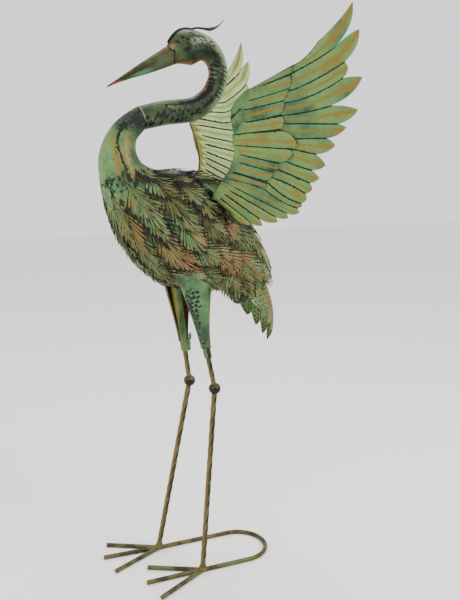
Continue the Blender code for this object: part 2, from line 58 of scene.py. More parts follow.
# working places are counted from the rods' centre lines; stand moves them into the frame
stand = Vector((loopHigh.x - feet["loopEnd"] - feet["spacing"] / 2 - feet["rod"] / 2, 0.0, feet["rod"] / 2))
mm = 0.001
sheetThickness = 1.2 * mm


# small helpers

def mix(low, high, share):
    return tuple(a + (b - a) * share for a, b in zip(low, high))


def between(low, high, share):
    return low + (high - low) * share


def clamp(value, low=0.0, high=1.0):
    return max(low, min(high, value))


def smooth(low, high, value):
    t = clamp((value - low) / (high - low))
    return t * t * (3.0 - 2.0 * t)


def through(points, steps=16):  # a smooth line through the points
    line = []
    last = len(points) - 1
    for span in range(last):
        p = [points[min(max(span + k, 0), last)] for k in (-1, 0, 1, 2)]
        for step in range(steps):
            t = step / steps
            line.append(tuple(
                b + 0.5 * t * (c - a + t * (2 * a - 5 * b + 4 * c - d + t * (3 * (b - c) + d - a)))
                for a, b, c, d in zip(*p)))
    line.append(tuple(points[last]))
    return line


def lengths(line):
    total = [0.0]
    for one, two in zip(line, line[1:]):
        total.append(total[-1] + hypot(two[0] - one[0], two[1] - one[1]))
    return total


def atDistance(line, total, distance):
    for index in range(1, len(line)):
        if distance <= total[index] or index == len(line) - 1:
            span = total[index] - total[index - 1]
            return mix(line[index - 1], line[index], (distance - total[index - 1]) / span)


def atShare(line, share):
    place = clamp(share) * (len(line) - 1)
    index = min(int(place), len(line) - 2)
    return mix(line[index], line[index + 1], place - index)


def turns(count):  # angles of a loop's corners
    return [2 * pi * k / count for k in range(count)]


def bell(value, middle, width):
    return exp(-((value - middle) / width) ** 2)


def bow(start, middle, end, t):  # a quadratic curve
    return mix(mix(start, middle, t), mix(middle, end, t), t)


def wobble(point, scale, seed=0.0):  # smooth noise, about -1 to 1
    return noise.noise(Vector(point) / scale + Vector((seed, seed * 0.7, -seed)))


# meshes carry their paint as numbers at each corner, which the materials read
paintNames = ("warm", "streak", "black", "pale", "tone")


def newMesh():
    mesh = {"points": [], "faces": [], "grain": []}
    for name in paintNames:
        mesh[name] = []
    return mesh


def addPoint(mesh, point, paint):
    mesh["points"].append(tuple(point))
    mesh["grain"] += paint.get("grain", (point[0] * 60, point[1] * 60, point[2] * 60))
    for name in paintNames:
        mesh[name].append(paint.get(name, 0.0))
    return len(mesh["points"]) - 1


def addRows(mesh, rows, around=False, flip=False):
    for one, two in zip(rows, rows[1:]):
        for k in range(len(one) if around else len(one) - 1):
            m = (k + 1) % len(one)
            face = (one[k], one[m], two[m], two[k])
            mesh["faces"].append(face[::-1] if flip else face)


def addTube(mesh, loops, closed=True):  # loops of (point, paint), joined one to the next
    rows = [[addPoint(mesh, point, paint) for point, paint in loop] for loop in loops]
    addRows(mesh, rows, around=True)
    if closed:
        mesh["faces"] += [tuple(rows[0][::-1]), tuple(rows[-1])]
    return rows


def addSheet(mesh, grid, thickness, inside=None):
    # grid holds rows of (point, outward direction, paint); the back lies one thickness behind
    behind = inside or {}
    front = [[addPoint(mesh, point, paint) for point, out, paint in row] for row in grid]
    back = [[addPoint(mesh, point - out * thickness, {**paint, **behind}) for point, out, paint in row]
            for row in grid]
    addRows(mesh, front)
    addRows(mesh, back, flip=True)
    last, end = len(grid) - 1, len(grid[0]) - 1
    rim = ([(0, k) for k in range(end + 1)] + [(r, end) for r in range(1, last + 1)]
           + [(last, k) for k in range(end - 1, -1, -1)] + [(r, 0) for r in range(last - 1, 0, -1)])
    for (r, k), (s, m) in zip(rim, rim[1:] + rim[:1]):
        mesh["faces"].append((front[r][k], back[r][k], back[s][m], front[s][m]))


def makePiece(name, mesh, material, nodes=(), sharp=40.0, body="root"):
    data = bpy.data.meshes.new(name)
    data.from_pydata(mesh["points"], [], mesh["faces"])
    for paint in paintNames:
        data.attributes.new(paint, "FLOAT", "POINT").data.foreach_set("value", mesh[paint])
    data.attributes.new("grain", "FLOAT_VECTOR", "POINT").data.foreach_set("vector", mesh["grain"])
    tidy = bmesh.new()
    tidy.from_mesh(data)
    bmesh.ops.recalc_face_normals(tidy, faces=tidy.faces)
    tidy.to_mesh(data)
    tidy.free()
    data.shade_smooth()
    data.set_sharp_from_angle(angle=radians(sharp))
    data.materials.append(material)
    piece = bpy.data.objects.new(name, data)
    bpy.context.collection.objects.link(piece)
    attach(piece, body)
    if nodes:
        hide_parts(*nodes)
    return piece


# materials

def linear(hexColour):
    values = [int(hexColour[k:k + 2], 16) / 255 for k in (1, 3, 5)]
    return tuple(v / 12.92 if v <= 0.04045 else ((v + 0.055) / 1.055) ** 2.4 for v in values) + (1.0,)


def addNode(tree, kind, settings=None, links=None):
    item = tree.nodes.new(kind)
    for name, value in (settings or {}).items():
        if name == "stops":
            ramp = item.color_ramp
            while len(ramp.elements) < len(value):
                ramp.elements.new(0.5)
            for element, (place, colour) in zip(ramp.elements, value):
                element.position = place
                element.color = linear(colour)
        elif isinstance(name, int) or name in item.inputs:
            item.inputs[name].default_value = value
        else:
            setattr(item, name, value)
    for name, source in (links or {}).items():
        tree.links.new(source, item.inputs[name])
    return item


def patinaPaint(name, look):
    # hand-wiped coats over sheet steel: a ground, ochre, rust and broken black lines, under satin lacquer
    material = bpy.data.materials.new(name)
    material.use_nodes = True
    tree = material.node_tree
    shader = tree.nodes["Principled BSDF"]

    def mark(paint, output="Fac"):
        return addNode(tree, "ShaderNodeAttribute", {"attribute_name": paint}).outputs[output]

    def speckle(size, detail, roughness, source):
        settings = {"Scale": 1 / size, "Detail": detail, "Roughness": roughness}
        return addNode(tree, "ShaderNodeTexNoise", settings, {"Vector": source}).outputs["Fac"]

    def broken(base, noiseFac, gain, shift=0.0):  # base + (noiseFac - 0.5) * gain + shift
        settings = {"operation": "MULTIPLY_ADD", 1: gain, 2: shift - 0.5 * gain}
        part = addNode(tree, "ShaderNodeMath", settings, {0: noiseFac}).outputs[0]
        return addNode(tree, "ShaderNodeMath", {"operation": "ADD"}, {0: base, 1: part}).outputs[0]

    place = addNode(tree, "ShaderNodeTexCoord").outputs["Object"]
    patches = speckle(look["patchMm"] * mm, 4.0, 0.6, place)
    brush = speckle(1.0, 4.0, 0.62, mark("grain", "Vector"))
    speck = speckle(look["speckMm"] * mm, 3.0, 0.65, place)
    groundFac = broken(mark("tone"), patches, look["patchGain"], 0.5)
    colour = addNode(tree, "ShaderNodeValToRGB", {"stops": look["ground"]},
                     {"Fac": groundFac}).outputs["Color"]
    layers = [  # tint, the number it follows, the noise that breaks its edge and how much, none at, full at
        ("pale", "pale", brush, 0.8, 0.2, 0.9), ("ochre", "warm", brush, look["brushGain"], 0.30, 0.75),
        ("rust", "streak", brush, look["brushGain"], 0.42, 0.80),
        ("black", "black", speck, look["speckGain"], 0.30, 0.52)]
    for tint, paint, noiseFac, gain, none, full in layers:
        settings = {"From Min": none, "From Max": full, "interpolation_type": "SMOOTHSTEP"}
        amount = addNode(tree, "ShaderNodeMapRange", settings,
                         {"Value": broken(mark(paint), noiseFac, gain)}).outputs["Result"]
        colour = addNode(tree, "ShaderNodeMixRGB", {"Color2": linear(look[tint])},
                         {"Fac": amount, "Color1": colour}).outputs["Color"]
    settings = {"To Min": look["rough"] - 0.09, "To Max": look["rough"] + 0.12}
    rough = addNode(tree, "ShaderNodeMapRange", settings, {"Value": speck}).outputs["Result"]
    height = addNode(tree, "ShaderNodeMath", {"operation": "ADD"}, {0: brush, 1: speck}).outputs[0]
    bump = addNode(tree, "ShaderNodeBump", {"Strength": look["bump"], "Distance": 0.6 * mm},
                   {"Height": height}).outputs["Normal"]
    for socket, source in (("Base Color", colour), ("Roughness", rough), ("Normal", bump)):
        tree.links.new(source, shader.inputs[socket])
    shader.inputs["Metallic"].default_value = look["metallic"]
    shader.inputs["Specular IOR Level"].default_value = 0.32
    return material


print("stage: finishes")
# verdigris wash brushed over pressed sheet: mint green with olive and ochre, satin
verdigrisWash = patinaPaint("verdigrisWash", {
    "ground": [(0.22, "#233d24"), (0.42, "#4a6e42"), (0.58, "#5f8044"), (0.78, "#68642a")],
    "pale": "#a8bf74", "ochre": "#716222", "rust": "#8d531c", "black": "#0d120c",
    "patchMm": 60, "patchGain": 1.1, "speckMm": 5, "brushGain": 1.6, "speckGain": 1.2,
    "metallic": 0.25, "rough": 0.44, "bump": 0.18})
# the same wash on the neck and head, darker and more mottled
neckWash = patinaPaint("neckWash", {
    "ground": [(0.25, "#141f12"), (0.42, "#253a22"), (0.55, "#3a401b"), (0.72, "#3f5a38")],
    "pale": "#6c8458", "ochre": "#514119", "rust": "#87502c", "black": "#070a06",
    "patchMm": 34, "patchGain": 1.7, "speckMm": 3, "brushGain": 1.3, "speckGain": 1.4,
    "metallic": 0.25, "rough": 0.42, "bump": 0.2})
# cut feather plates, each blade wiped olive, mint, ochre or salmon, tips dipped black
featherPaint = patinaPaint("featherPaint", {
    "ground": [(0.05, "#25260f"), (0.30, "#4d481f"), (0.47, "#4f6f48"), (0.62, "#6b5e2f"),
               (0.9, "#7c5a42")],
    "pale": "#8c9a70", "ochre": "#66522a", "rust": "#7e4830", "black": "#080a07",
    "patchMm": 28, "patchGain": 0.9, "speckMm": 6, "brushGain": 0.8, "speckGain": 0.7,
    "metallic": 0.25, "rough": 0.46, "bump": 0.2})
# twisted square bar, blackened steel wiped with olive and green
barPatina = patinaPaint("barPatina", {
    "ground": [(0.25, "#14170e"), (0.42, "#342f17"), (0.58, "#564d25"), (0.78, "#43603d")],
    "pale": "#7d9068", "ochre": "#6b5726", "rust": "#6a3c22", "black": "#0c0e09",
    "patchMm": 26, "patchGain": 1.1, "speckMm": 4, "brushGain": 1.1, "speckGain": 1.0,
    "metallic": 0.35, "rough": 0.42, "bump": 0.35})
# beak sheet, olive and brown lacquer with a green wipe
beakLacquer = patinaPaint("beakLacquer", {
    "ground": [(0.3, "#23260f"), (0.48, "#3a3b1a"), (0.62, "#345034"), (0.8, "#483d18")],
    "pale": "#43704c", "ochre": "#453415", "rust": "#8f4226", "black": "#0b0e09",
    "patchMm": 30, "patchGain": 1.3, "speckMm": 4, "brushGain": 0.9, "speckGain": 0.9,
    "metallic": 0.25, "rough": 0.42, "bump": 0.18})
# black crest enamel, rubbed olive on the free plume
crestEnamel = patinaPaint("crestEnamel", {
    "ground": [(0.3, "#11120d"), (0.7, "#1d2016")],
    "pale": "#6c6c48", "ochre": "#3b3a22", "rust": "#4a3a22", "black": "#0c0d0a",
    "patchMm": 20, "patchGain": 1.0, "speckMm": 3, "brushGain": 0.8, "speckGain": 0.6,
    "metallic": 0.1, "rough": 0.40, "bump": 0.12})


print("stage: trunk")
trunk = {
    # x, z, half depth, half width, lean of the section, from the neck joint to the tail
    "stations": [
        (-0.0855, 0.9138, 0.0222, 0.0222, -72.0), (-0.1156, 0.8881, 0.0252, 0.0250, -37.0),
        (-0.1299, 0.8503, 0.0335, 0.0320, -3.0), (-0.1204, 0.8123, 0.0450, 0.0430, 12.0),
        (-0.0945, 0.7782, 0.0675, 0.0560, 33.0), (-0.0505, 0.7405, 0.0965, 0.0700, 46.5),
        (-0.0020, 0.7042, 0.1105, 0.0760, 56.0), (0.0315, 0.6858, 0.1045, 0.0760, 60.5),
        (0.0733, 0.6627, 0.0840, 0.0690, 61.0), (0.1324, 0.6233, 0.0510, 0.0480, 58.0),
        (0.1740, 0.5900, 0.0140, 0.0200, 50.0)],
    "hemTop": 0.122, "hemFront": 0.162,
}
trunkLine = through(trunk["stations"])
trunkLengths = lengths(trunkLine)


def trunkPoint(distance, angle, lift):
    x, z, depth, width, lean = atDistance(trunkLine, trunkLengths, distance)
    normalUp, normalSide = sin(angle) / depth, cos(angle) / width
    size = hypot(normalUp, normalSide)
    up = depth * sin(angle) + lift * normalUp / size
    side = width * cos(angle) + lift * normalSide / size
    return Vector((x + up * cos(radians(lean)), side, z + up * sin(radians(lean)))) + stand


def trunkStretch(distance, angle):  # metres along the section for one radian
    x, z, depth, width, lean = atDistance(trunkLine, trunkLengths, distance)
    return hypot(depth * cos(angle), width * sin(angle))


def hemShown(angle):  # how far down the collar's lobes reach
    return between(trunk["hemTop"], trunk["hemFront"], smooth(0.0, 0.95, 0.5 - 0.5 * sin(angle)))


# wings lie on one plane a side, which grows outwards to the back and upwards
wingPlane = {"base": -0.1725, "x": 0.479, "z": 0.271}


def wingPoint(x, z, height, side):  # x, z in the frame
    out = wingPlane["base"] + wingPlane["x"] * (x - stand.x) + wingPlane["z"] * (z - stand.z)
    return Vector((x, side * out, z)) + wingNormal(side) * height


def wingNormal(side):
    return Vector((-wingPlane["x"], side, -wingPlane["z"])).normalized()


print("stage: sizes that the coat drapes over")
tail = {
    "feathers": 9, "halfWidth": 0.066, "narrow": 0.80, "root": (0.158, 0.622), "rootDrop": (0.078, 0.044),
    "tip": (0.184, 0.462), "tipRise": (0.044, 0.070), "bulge": 0.018, "notch": 0.13, "sweep": 0.2,
    "crown": 0.0026, "rows": 100, "tipRows": 24, "across": 14, "dotPitch": 0.0085, "dotRadius": 0.0030,
    "dotLanes": (-0.42, 0.42), "nearFeathers": 6, "seed": 5,
    "ochre": (0.14, 0.34, 0.56, 0.56, 0.50, 0.40, 0.14, 0.14, 0.14),  # wiped on each feather
}


def tailRoot(v):
    return Vector((tail["root"][0] - tail["rootDrop"][0] * v * v, tail["halfWidth"] * v * tail["narrow"],
                   tail["root"][1] - tail["rootDrop"][1] * v * v)) + stand


def tailTip(v):
    return Vector((tail["tip"][0] - tail["tipRise"][0] * v * v, tail["halfWidth"] * v,
                   tail["tip"][1] + tail["tipRise"][1] * abs(v) ** 1.4)) + stand


def tailSurface(v, t, lift):
    start, out = tailRoot(v), Vector((1.0, 0.55 * v, 0.25 * (1 - t))).normalized()
    bulge = tail["bulge"] * sin(pi * clamp(t)) * (1.0 - 0.5 * v * v)
    return start + (tailTip(v) - start) * t + out * (bulge + lift)


legs = {
    "shin": 0.0118, "upper": 0.0108, "pitch": 0.110, "step": 0.003, "ball": 0.0245,
    "weldHeight": 0.009, "weldSwell": 1.35, "barSides": 24, "barFlat": 0.91, "kneeHold": 0.010,
    "tubeRows": 40, "tubeSides": 40, "tabAt": 0.13, "tabShift": (0.0088, -0.006, 0.0),
    "tabBeads": [((0.0034, 0, 0.008), (0.0032, 0.0030, 0.0075)), ((0, 0, -0.006), (0.0044, 0.0036, 0.0100)),
                 ((0.0018, 0, -0.016), (0.0030, 0.0028, 0.0070))],
    "knees": {"left": (0.0505, -0.030, 0.3787), "right": (0.0178, 0.030, 0.3832)},
    "hips": {"left": (-0.0010, -0.044, 0.6020), "right": (-0.0085, 0.040, 0.5980)},
    "tubeBottom": 0.305, "tubeLow": 0.0078, "tubeHigh": 0.0125, "rise": 0.020, "barInside": 0.020,
    "cowlBottom": 0.40, "cowlLength": 0.0330, "cowlBulge": 0.0250, "cowlBack": 0.0065, "cowlFlare": 1.4,
    "cowlWrap": 215.0, "cowlDrop": 0.06, "cowlRows": 90, "cowlSteps": 100,
}


def outward(side):
    return -1.0 if side == "left" else 1.0


def legPoint(side, share):
    knee, hip = Vector(legs["knees"][side]), Vector(legs["hips"][side])
    return knee + (hip - knee) * share


def legEnd(side):
    return 1.0 + legs["rise"] / (Vector(legs["hips"][side]) - Vector(legs["knees"][side])).length


def cowlSection(side, share):
    # centre and half sizes of the cowl's outer face
    opened = max(0.0, (share - legs["cowlBottom"]) / (1.0 - legs["cowlBottom"])) ** legs["cowlFlare"]
    hug = legs["tubeLow"] + 0.0015
    centre = legPoint(side, share) + Vector((legs["cowlBack"] * opened, 0, 0)) + stand
    return centre, between(hug + sheetThickness, legs["cowlLength"], opened), between(
        hug + sheetThickness, legs["cowlBulge"], opened)


print("stage: feather coat")
coat = {
    "rows": 11, "firstBack": -0.020, "last": 0.438, "plateWidth": 0.050,
    "length": 0.078, "barbs": 6, "barbWidth": 0.0040, "spread": 46.0, "closeTip": 8.0,
    "lift": 0.0078, "liftJitter": 0.0022, "rootLift": 0.0018, "crown": 0.0012, "stations": 6,
    "leafHalf": 0.0165, "leafLength": 0.74, "turnJitter": 6.0, "droop": 14.0,
    "coreRows": 60, "coreAround": 64, "coreSink": 0.0012, "tailPlates": 5, "tailBack": 0.048,
    "overCowl": 0.0016, "underCowl": 0.0045, "cowlEdge": (0.6006, -0.33), "cowlReach": (0.70, 1.05, 1.16),
    "overTail": 0.0036, "behindWing": 0.0035, "wingFoot": (-0.02, 0.722), "seed": 7,
    "coreStart": 0.100, "hem": 0.143, "firstRoot": -0.0006,
    "leafRows": 10, "leafSteps": (-1, -0.55, 0, 0.55, 1),
    "skirt": [((0.0640, 0.6170), (0.0850, 0.5620), 0.0570), ((0.0800, 0.6200), (0.0970, 0.5640), 0.0580),
              ((0.0990, 0.6190), (0.1120, 0.5650), 0.0550), ((0.1210, 0.6240), (0.1340, 0.5740), 0.0500)],
}


def addBarb(mesh, place, start, heading, length, barb, tone, pick):
    # a narrow crowned blade from start (along, across) that curls towards the plate's rib
    along, across = start
    middle, left, right, under = [], [], [], []
    count = coat["stations"]
    for k in range(count + 1):
        t = k / count
        turn = heading * (1.0 - 0.24 * t)
        wide = barb["width"] / 2 * (0.55 + 0.45 * smooth(0.0, 0.35, t))
        wide *= 1.0 - smooth(0.72, 1.04, t) * 0.96
        lift = barb["root"] + (barb["lift"] - barb["root"]) * t ** 1.5
        black = smooth(barb["dip"], barb["dip"] + 0.14, t) * 0.95 - 0.1
        paint = {"tone": tone, "black": black, "warm": barb["warm"], "streak": barb["streak"],
                 "pale": barb["pale"] * (1 - t), "grain": (pick * 9.0, t * 1.6, pick * 3.0)}
        edge = dict(paint, black=black + 0.38)
        side = (-sin(turn) * wide, cos(turn) * wide)
        middle.append(addPoint(mesh, place(along, across, lift + coat["crown"]), paint))
        left.append(addPoint(mesh, place(along + side[0], across + side[1], lift), edge))
        right.append(addPoint(mesh, place(along - side[0], across - side[1], lift), edge))
        under.append(addPoint(mesh, place(along, across, lift - 0.0004), edge))
        along += cos(turn) * length / count
        across += sin(turn) * length / count
    addRows(mesh, [list(row) for row in zip(middle, left, under, right)], around=True)
    mesh["faces"] += [(middle[0], right[0], under[0], left[0]),
                      (middle[-1], left[-1], under[-1], right[-1])]


def addPlate(mesh, place, out, length, stretch, pick, root, shade=0.0):
    # one cut plate: a leaf with long barbs to both sides, like a palm frond
    plateTone = clamp(pick.gauss(-0.01, 0.14), -0.22, 0.19) - 0.10 * shade
    platePale = max(0.0, pick.gauss(-0.05, 0.22)) * (1.0 - shade)
    dark = pick.random() < 0.08 + 0.4 * shade
    leaf = []
    for k in range(coat["leafRows"] + 1):
        t = k / coat["leafRows"]
        half = coat["leafHalf"] * stretch * smooth(-0.1, 0.5, t) * (1.0 - 0.75 * smooth(0.7, 1.0, t))
        line = []
        for side in coat["leafSteps"]:
            # the leaf darkens towards its tip and sides, under the barbs: painted shade in the gaps between
            # them
            paint = {"tone": plateTone - 0.12 * abs(side), "pale": platePale * (1 - t), "warm": 0.3,
                     "black": smooth(0.10, 0.55, t + 0.3 * abs(side)) * 0.80 - 0.15,
                     "grain": (t * 2, side * 2, plateTone * 9)}
            lift = root + 0.0012 * t - 0.0008 * side * side
            line.append((place(length * coat["leafLength"] * t, side * half, lift), out, paint))
        leaf.append(line)
    addSheet(mesh, leaf, 0.0005)
    for k in range(-coat["barbs"], coat["barbs"] + 1):
        share = 1.0 - abs(k) / coat["barbs"]
        sign = (k > 0) - (k < 0)
        heading = sign * radians(between(coat["spread"], coat["closeTip"], share))
        heading *= min(1.0, 0.4 + 0.6 * stretch)
        start = (length * (0.03 + 0.40 * share), sign * 0.0012)
        reach = length * (0.58 - 0.02 * share) * pick.uniform(0.92, 1.06)
        barb = {"width": coat["barbWidth"] * pick.uniform(0.85, 1.1),
                "root": root + 0.0010 + 0.0008 * share,
                "lift": coat["lift"] + pick.uniform(-1, 1) * coat["liftJitter"] + 0.0045 * max(shade, 0.0),
                "dip": pick.uniform(0.66, 0.86) - (0.30 if dark else 0.0) - 0.14 * shade,
                "warm": pick.uniform(-0.2, 0.5), "streak": pick.uniform(-0.3, 0.42),
                "pale": platePale + pick.uniform(-0.1, 0.35)}
        addBarb(mesh, place, start, heading, reach, barb, plateTone + pick.gauss(0.0, 0.08), pick.random())


def addTrunkPlate(mesh, distance, angle, width, pick, root):
    onSide = -cos(angle)
    drift = radians(coat["droop"]) * onSide + radians(pick.uniform(-1, 1) * coat["turnJitter"])

    def place(along, across, lift):
        a = along * cos(drift) - across * sin(drift)
        c = along * sin(drift) + across * cos(drift)
        d = min(distance + a, trunkLengths[-1] + 0.012)
        return trunkPoint(d, angle + c / trunkStretch(min(d, 0.45), angle), lift)

    shade = smooth(0.0, 0.8, sin(angle)) * smooth(0.38, 0.24, distance)  # darker along the top of the back
    shade -= 1.3 * smooth(0.29, 0.39, distance)  # and paler towards the tail
    addPlate(mesh, place, trunkOut(distance, angle), coat["length"] * pick.uniform(0.94, 1.06),
             width / coat["plateWidth"], pick, root, shade)


def addTailPlate(mesh, v, pick):
    reach = (tailTip(v) - tailRoot(v)).length

    def place(along, across, lift):
        t = (along - coat["tailBack"]) / reach
        return tailSurface(clamp(v + across / tail["halfWidth"], -1.2, 1.2), t, lift + coat["overTail"])

    out = Vector((1.0, 0.55 * v, 0.2)).normalized()
    addPlate(mesh, place, out, coat["length"] * 0.84, 0.66, pick, 0.0, 0.3)


def addSkirtPlate(mesh, side, start, end, depth, pick):
    # plates that hang beside the tail's root and face sideways
    hang = Vector((end[0] - start[0], end[1] - start[1]))
    run = hang.normalized()

    def place(along, across, lift):
        x = start[0] + run.x * along - run.y * across
        z = start[1] + run.y * along + run.x * across
        return Vector((x, side * (depth + 0.14 * max(along, 0.0) + lift), z)) + stand

    addPlate(mesh, place, Vector((0, side, 0)), hang.length * 1.12, 0.95, pick, 0.0)


def trunkOut(distance, angle):
    return (trunkPoint(distance, angle, 0.01) - trunkPoint(distance, angle, 0.0)).normalized()


def keepBehindWings(mesh):
    # barbs that would stand through a wing are pressed down behind it
    back, foot = coat["wingFoot"]
    for index, (x, y, z) in enumerate(mesh["points"]):
        out = wingPlane["base"] + wingPlane["x"] * (x - stand.x) + wingPlane["z"] * (z - stand.z)
        limit = out - coat["behindWing"]
        if z > foot and x > back and abs(y) > limit > 0.03 and abs(y) < out + 0.02:
            mesh["points"][index] = (x, limit if y > 0 else -limit, z)


def drapeOverCowls(mesh, first):
    # plates that reach the thighs lie outside the cowls down to the cut edge, and inside below it
    height, slope = coat["cowlEdge"]
    low, fading, high = coat["cowlReach"]  # shares of the leg
    for index in range(first, len(mesh["points"])):
        x, y, z = mesh["points"][index]
        side = "left" if y < 0 else "right"
        knee, hip = legs["knees"][side], legs["hips"][side]
        share = (z - stand.z - knee[2]) / (hip[2] - knee[2])
        if low < share < high:
            centre, halfX, halfY = cowlSection(side, min(share, 1.06))
            place = (x - centre.x) / (halfX + 0.003)
            if abs(place) < 1.0:
                face = abs(centre.y) + halfY * sqrt(1.0 - place * place)
                out = between(abs(y), max(abs(y), face + coat["overCowl"]), smooth(high, fading, share))
                if z < height + slope * x:
                    out = min(abs(y), face - coat["underCowl"])
                mesh["points"][index] = (x, -out if y < 0 else out, z)


def featherCoat():
    mesh = newMesh()
    pick = random.Random(coat["seed"])
    core = []
    for row in range(coat["coreRows"] + 1):
        distance = coat["coreStart"] + (trunkLengths[-1] - coat["coreStart"]) * row / coat["coreRows"]
        # the core under the plates is painted dark: painted shade that shows in the gaps between the barbs
        core.append([(trunkPoint(distance, turn, -coat["coreSink"]), {"black": 0.30, "tone": -0.15})
                     for turn in turns(coat["coreAround"])])
    addTube(mesh, core)
    first = len(mesh["points"])
    for row in range(coat["rows"]):
        share = row / (coat["rows"] - 1)
        middle = between(coat["hem"] + coat["firstBack"], coat["last"], share)
        x, z, depth, width, lean = atDistance(trunkLine, trunkLengths, middle + 0.03)
        around = pi * (3 * (depth + width) - sqrt((3 * depth + width) * (depth + 3 * width)))
        count = max(5, round(around / coat["plateWidth"]))
        root = coat["rootLift"] if row else coat["firstRoot"]
        for k in range(count):
            angle = pi / 2 + 2 * pi * (k + 0.5 * (row % 2)) / count + pick.uniform(-1, 1) * 0.05
            start = between(hemShown(angle) + coat["firstBack"], coat["last"], share)
            addTrunkPlate(mesh, start + pick.uniform(-1, 1) * 0.004, angle, around / count, pick, root)
    drapeOverCowls(mesh, first)
    for k in range(coat["tailPlates"]):
        addTailPlate(mesh, (2 * (k + 0.5) / coat["tailPlates"] - 1) * 0.6, pick)
    for start, end, depth in coat["skirt"]:
        for side in (-1.0, 1.0):
            addSkirtPlate(mesh, side, start, end, depth, pick)
    keepBehindWings(mesh)
    return makePiece("featherCoat", mesh, featherPaint, ["body"], sharp=50)


featherCoat()


print("stage: breast and neck")
breast = {"rings": 56, "around": 160, "lobes": 10, "lobe": 0.013, "slit": 0.017,
          "skin": 0.0015, "flare": 0.0022}


def strokeDistance(point, strokes):
    # how far a place (x, z) lies inside the nearest painted stroke, 1 on its line, 0 at its edge
    best = -1.0
    for (x1, z1), (x2, z2), radius in strokes:
        dx, dz = x2 - x1, z2 - z1
        size = dx * dx + dz * dz
        t = clamp(((point[0] - x1) * dx + (point[1] - z1) * dz) / size) if size else 0.0
        best = max(best, 1.0 - hypot(point[0] - x1 - dx * t, point[1] - z1 - dz * t) / radius)
    return best


def strokeLine(points, radii):
    # a painted line through places in millimetres, with a brush radius at each
    places = [(x * mm, z * mm) for x, z in points]
    return [(a, b, (r + s) / 2 * mm) for a, b, r, s in zip(places, places[1:], radii, radii[1:])]


def ragged(point, size):  # a place (x, z) shifted a little, so that painted edges come out uneven
    return (point.x + size * wobble(point, 0.006, 3.0), point.z + size * wobble(point, 0.006, 8.0))


def dabs(points, radius):
    return [((x * mm, z * mm), (x * mm, z * mm), radius * mm) for x, z in points]


breastMarks = {
    "line": strokeLine([(-179, 894), (-183, 883), (-186, 872), (-184, 861), (-181, 851), (-179, 840),
                        (-175, 829), (-172, 817), (-166, 806)],
                       [3.4, 4.6, 4.8, 4.2, 3.6, 3.6, 3.8, 4.2, 4.6]),
    "rust": strokeLine([(-191, 894), (-194, 883), (-193, 872), (-190, 858), (-187, 840), (-189, 821)],
                       [8, 11, 11, 11, 12, 12]),
    "ochre": strokeLine([(-166, 890), (-170, 862), (-168, 835), (-160, 812)], [10, 12, 12, 10]),
    "dots": dabs([(-205, 807), (-186, 807), (-172, 805), (-190, 797), (-182, 797), (-205, 798),
                  (-171, 795), (-183, 785), (-196, 786)], 5.4)
    + dabs([(-212, 796), (-183, 779), (-158, 800)], 5.6),
    "top": dabs([(-175, 916), (-161, 929), (-158, 909), (-150, 913), (-145, 905), (-139, 909),
                 (-171, 909)], 3.2)
    + strokeLine([(-164, 926), (-168, 918)], [2.4, 1.8])
    + strokeLine([(-152, 922), (-155, 912)], [2.6, 2.0])
    + strokeLine([(-180, 908), (-184, 900)], [2.2, 1.6])
    + strokeLine([(-143, 922), (-141, 900)], [1.8, 1.4]),
}


def breastCollar():
    mesh = newMesh()
    outer, inner = [], []
    half = breast["around"] / breast["lobes"] / 2  # corners in half a lobe
    marks = breastMarks["line"] + breastMarks["dots"] + breastMarks["top"]
    for ring in range(breast["rings"] + 1):
        share = ring / breast["rings"]
        loop, back = [], []
        for k in range(breast["around"]):
            angle = pi / 2 + 2 * pi * (k + half) / breast["around"]
            w = 1.0 - abs(k % (2 * half) - half) / half  # 1 in the slit between two lobes
            reach = hemShown(angle) - breast["lobe"] * w ** 1.8 * smooth(0.5, -0.5, sin(angle))
            reach -= breast["slit"] * smooth(0.80, 1.0, w)
            distance = reach * share
            lift = breast["skin"] * smooth(0.0, 0.6, share)
            lift += breast["flare"] * smooth(0.86, 1.0, share) * (1 - w)
            point = trunkPoint(distance, angle, lift)
            place = ragged(point, 0.0022)
            hem = smooth(0.90, 1.0, share) * smooth(0.45, 0.9, w)
            upper = smooth(0.46, 0.04, share)
            # front is the front and lower face of the breast; the pale paint and lighter ground there are a
            # painted highlight, for light falling from the left
            front = smooth(-0.1, -0.95, sin(angle))
            smudge = 0.46 * max(0.0, wobble(point, 0.018, 5.0)) + 0.16 * smooth(0.55, 0.95, share)
            ochre = max(0.0, 0.30 * strokeDistance(place, breastMarks["ochre"]))
            rust = max(0.0, 0.52 * strokeDistance(place, breastMarks["rust"]))
            paint = {"black": max(strokeDistance(place, marks) * 0.9, hem * 0.9 - 0.2,
                                  0.36 * upper + 0.10 + smudge, -0.25),
                     "warm": ochre + 0.9 * rust + 0.10 + 0.26 * (1 - front) * (1 - upper),
                     "streak": rust - 0.05, "pale": 0.34 * front * (1 - upper),
                     "tone": -0.30 * upper - 0.20 + 0.10 * smooth(0.4, -0.6, sin(angle)),
                     "grain": (angle * 11.0, distance * 110, 1.0)}
            loop.append((point, paint))
            back.append((trunkPoint(distance, angle, lift - sheetThickness), dict(paint, black=0.5)))
        outer.append(loop)
        inner.append(back)
    addTube(mesh, outer + inner[:0:-1])
    return makePiece("breastCollar", mesh, verdigrisWash, ["lower_neck"], sharp=50)


breastCollar()

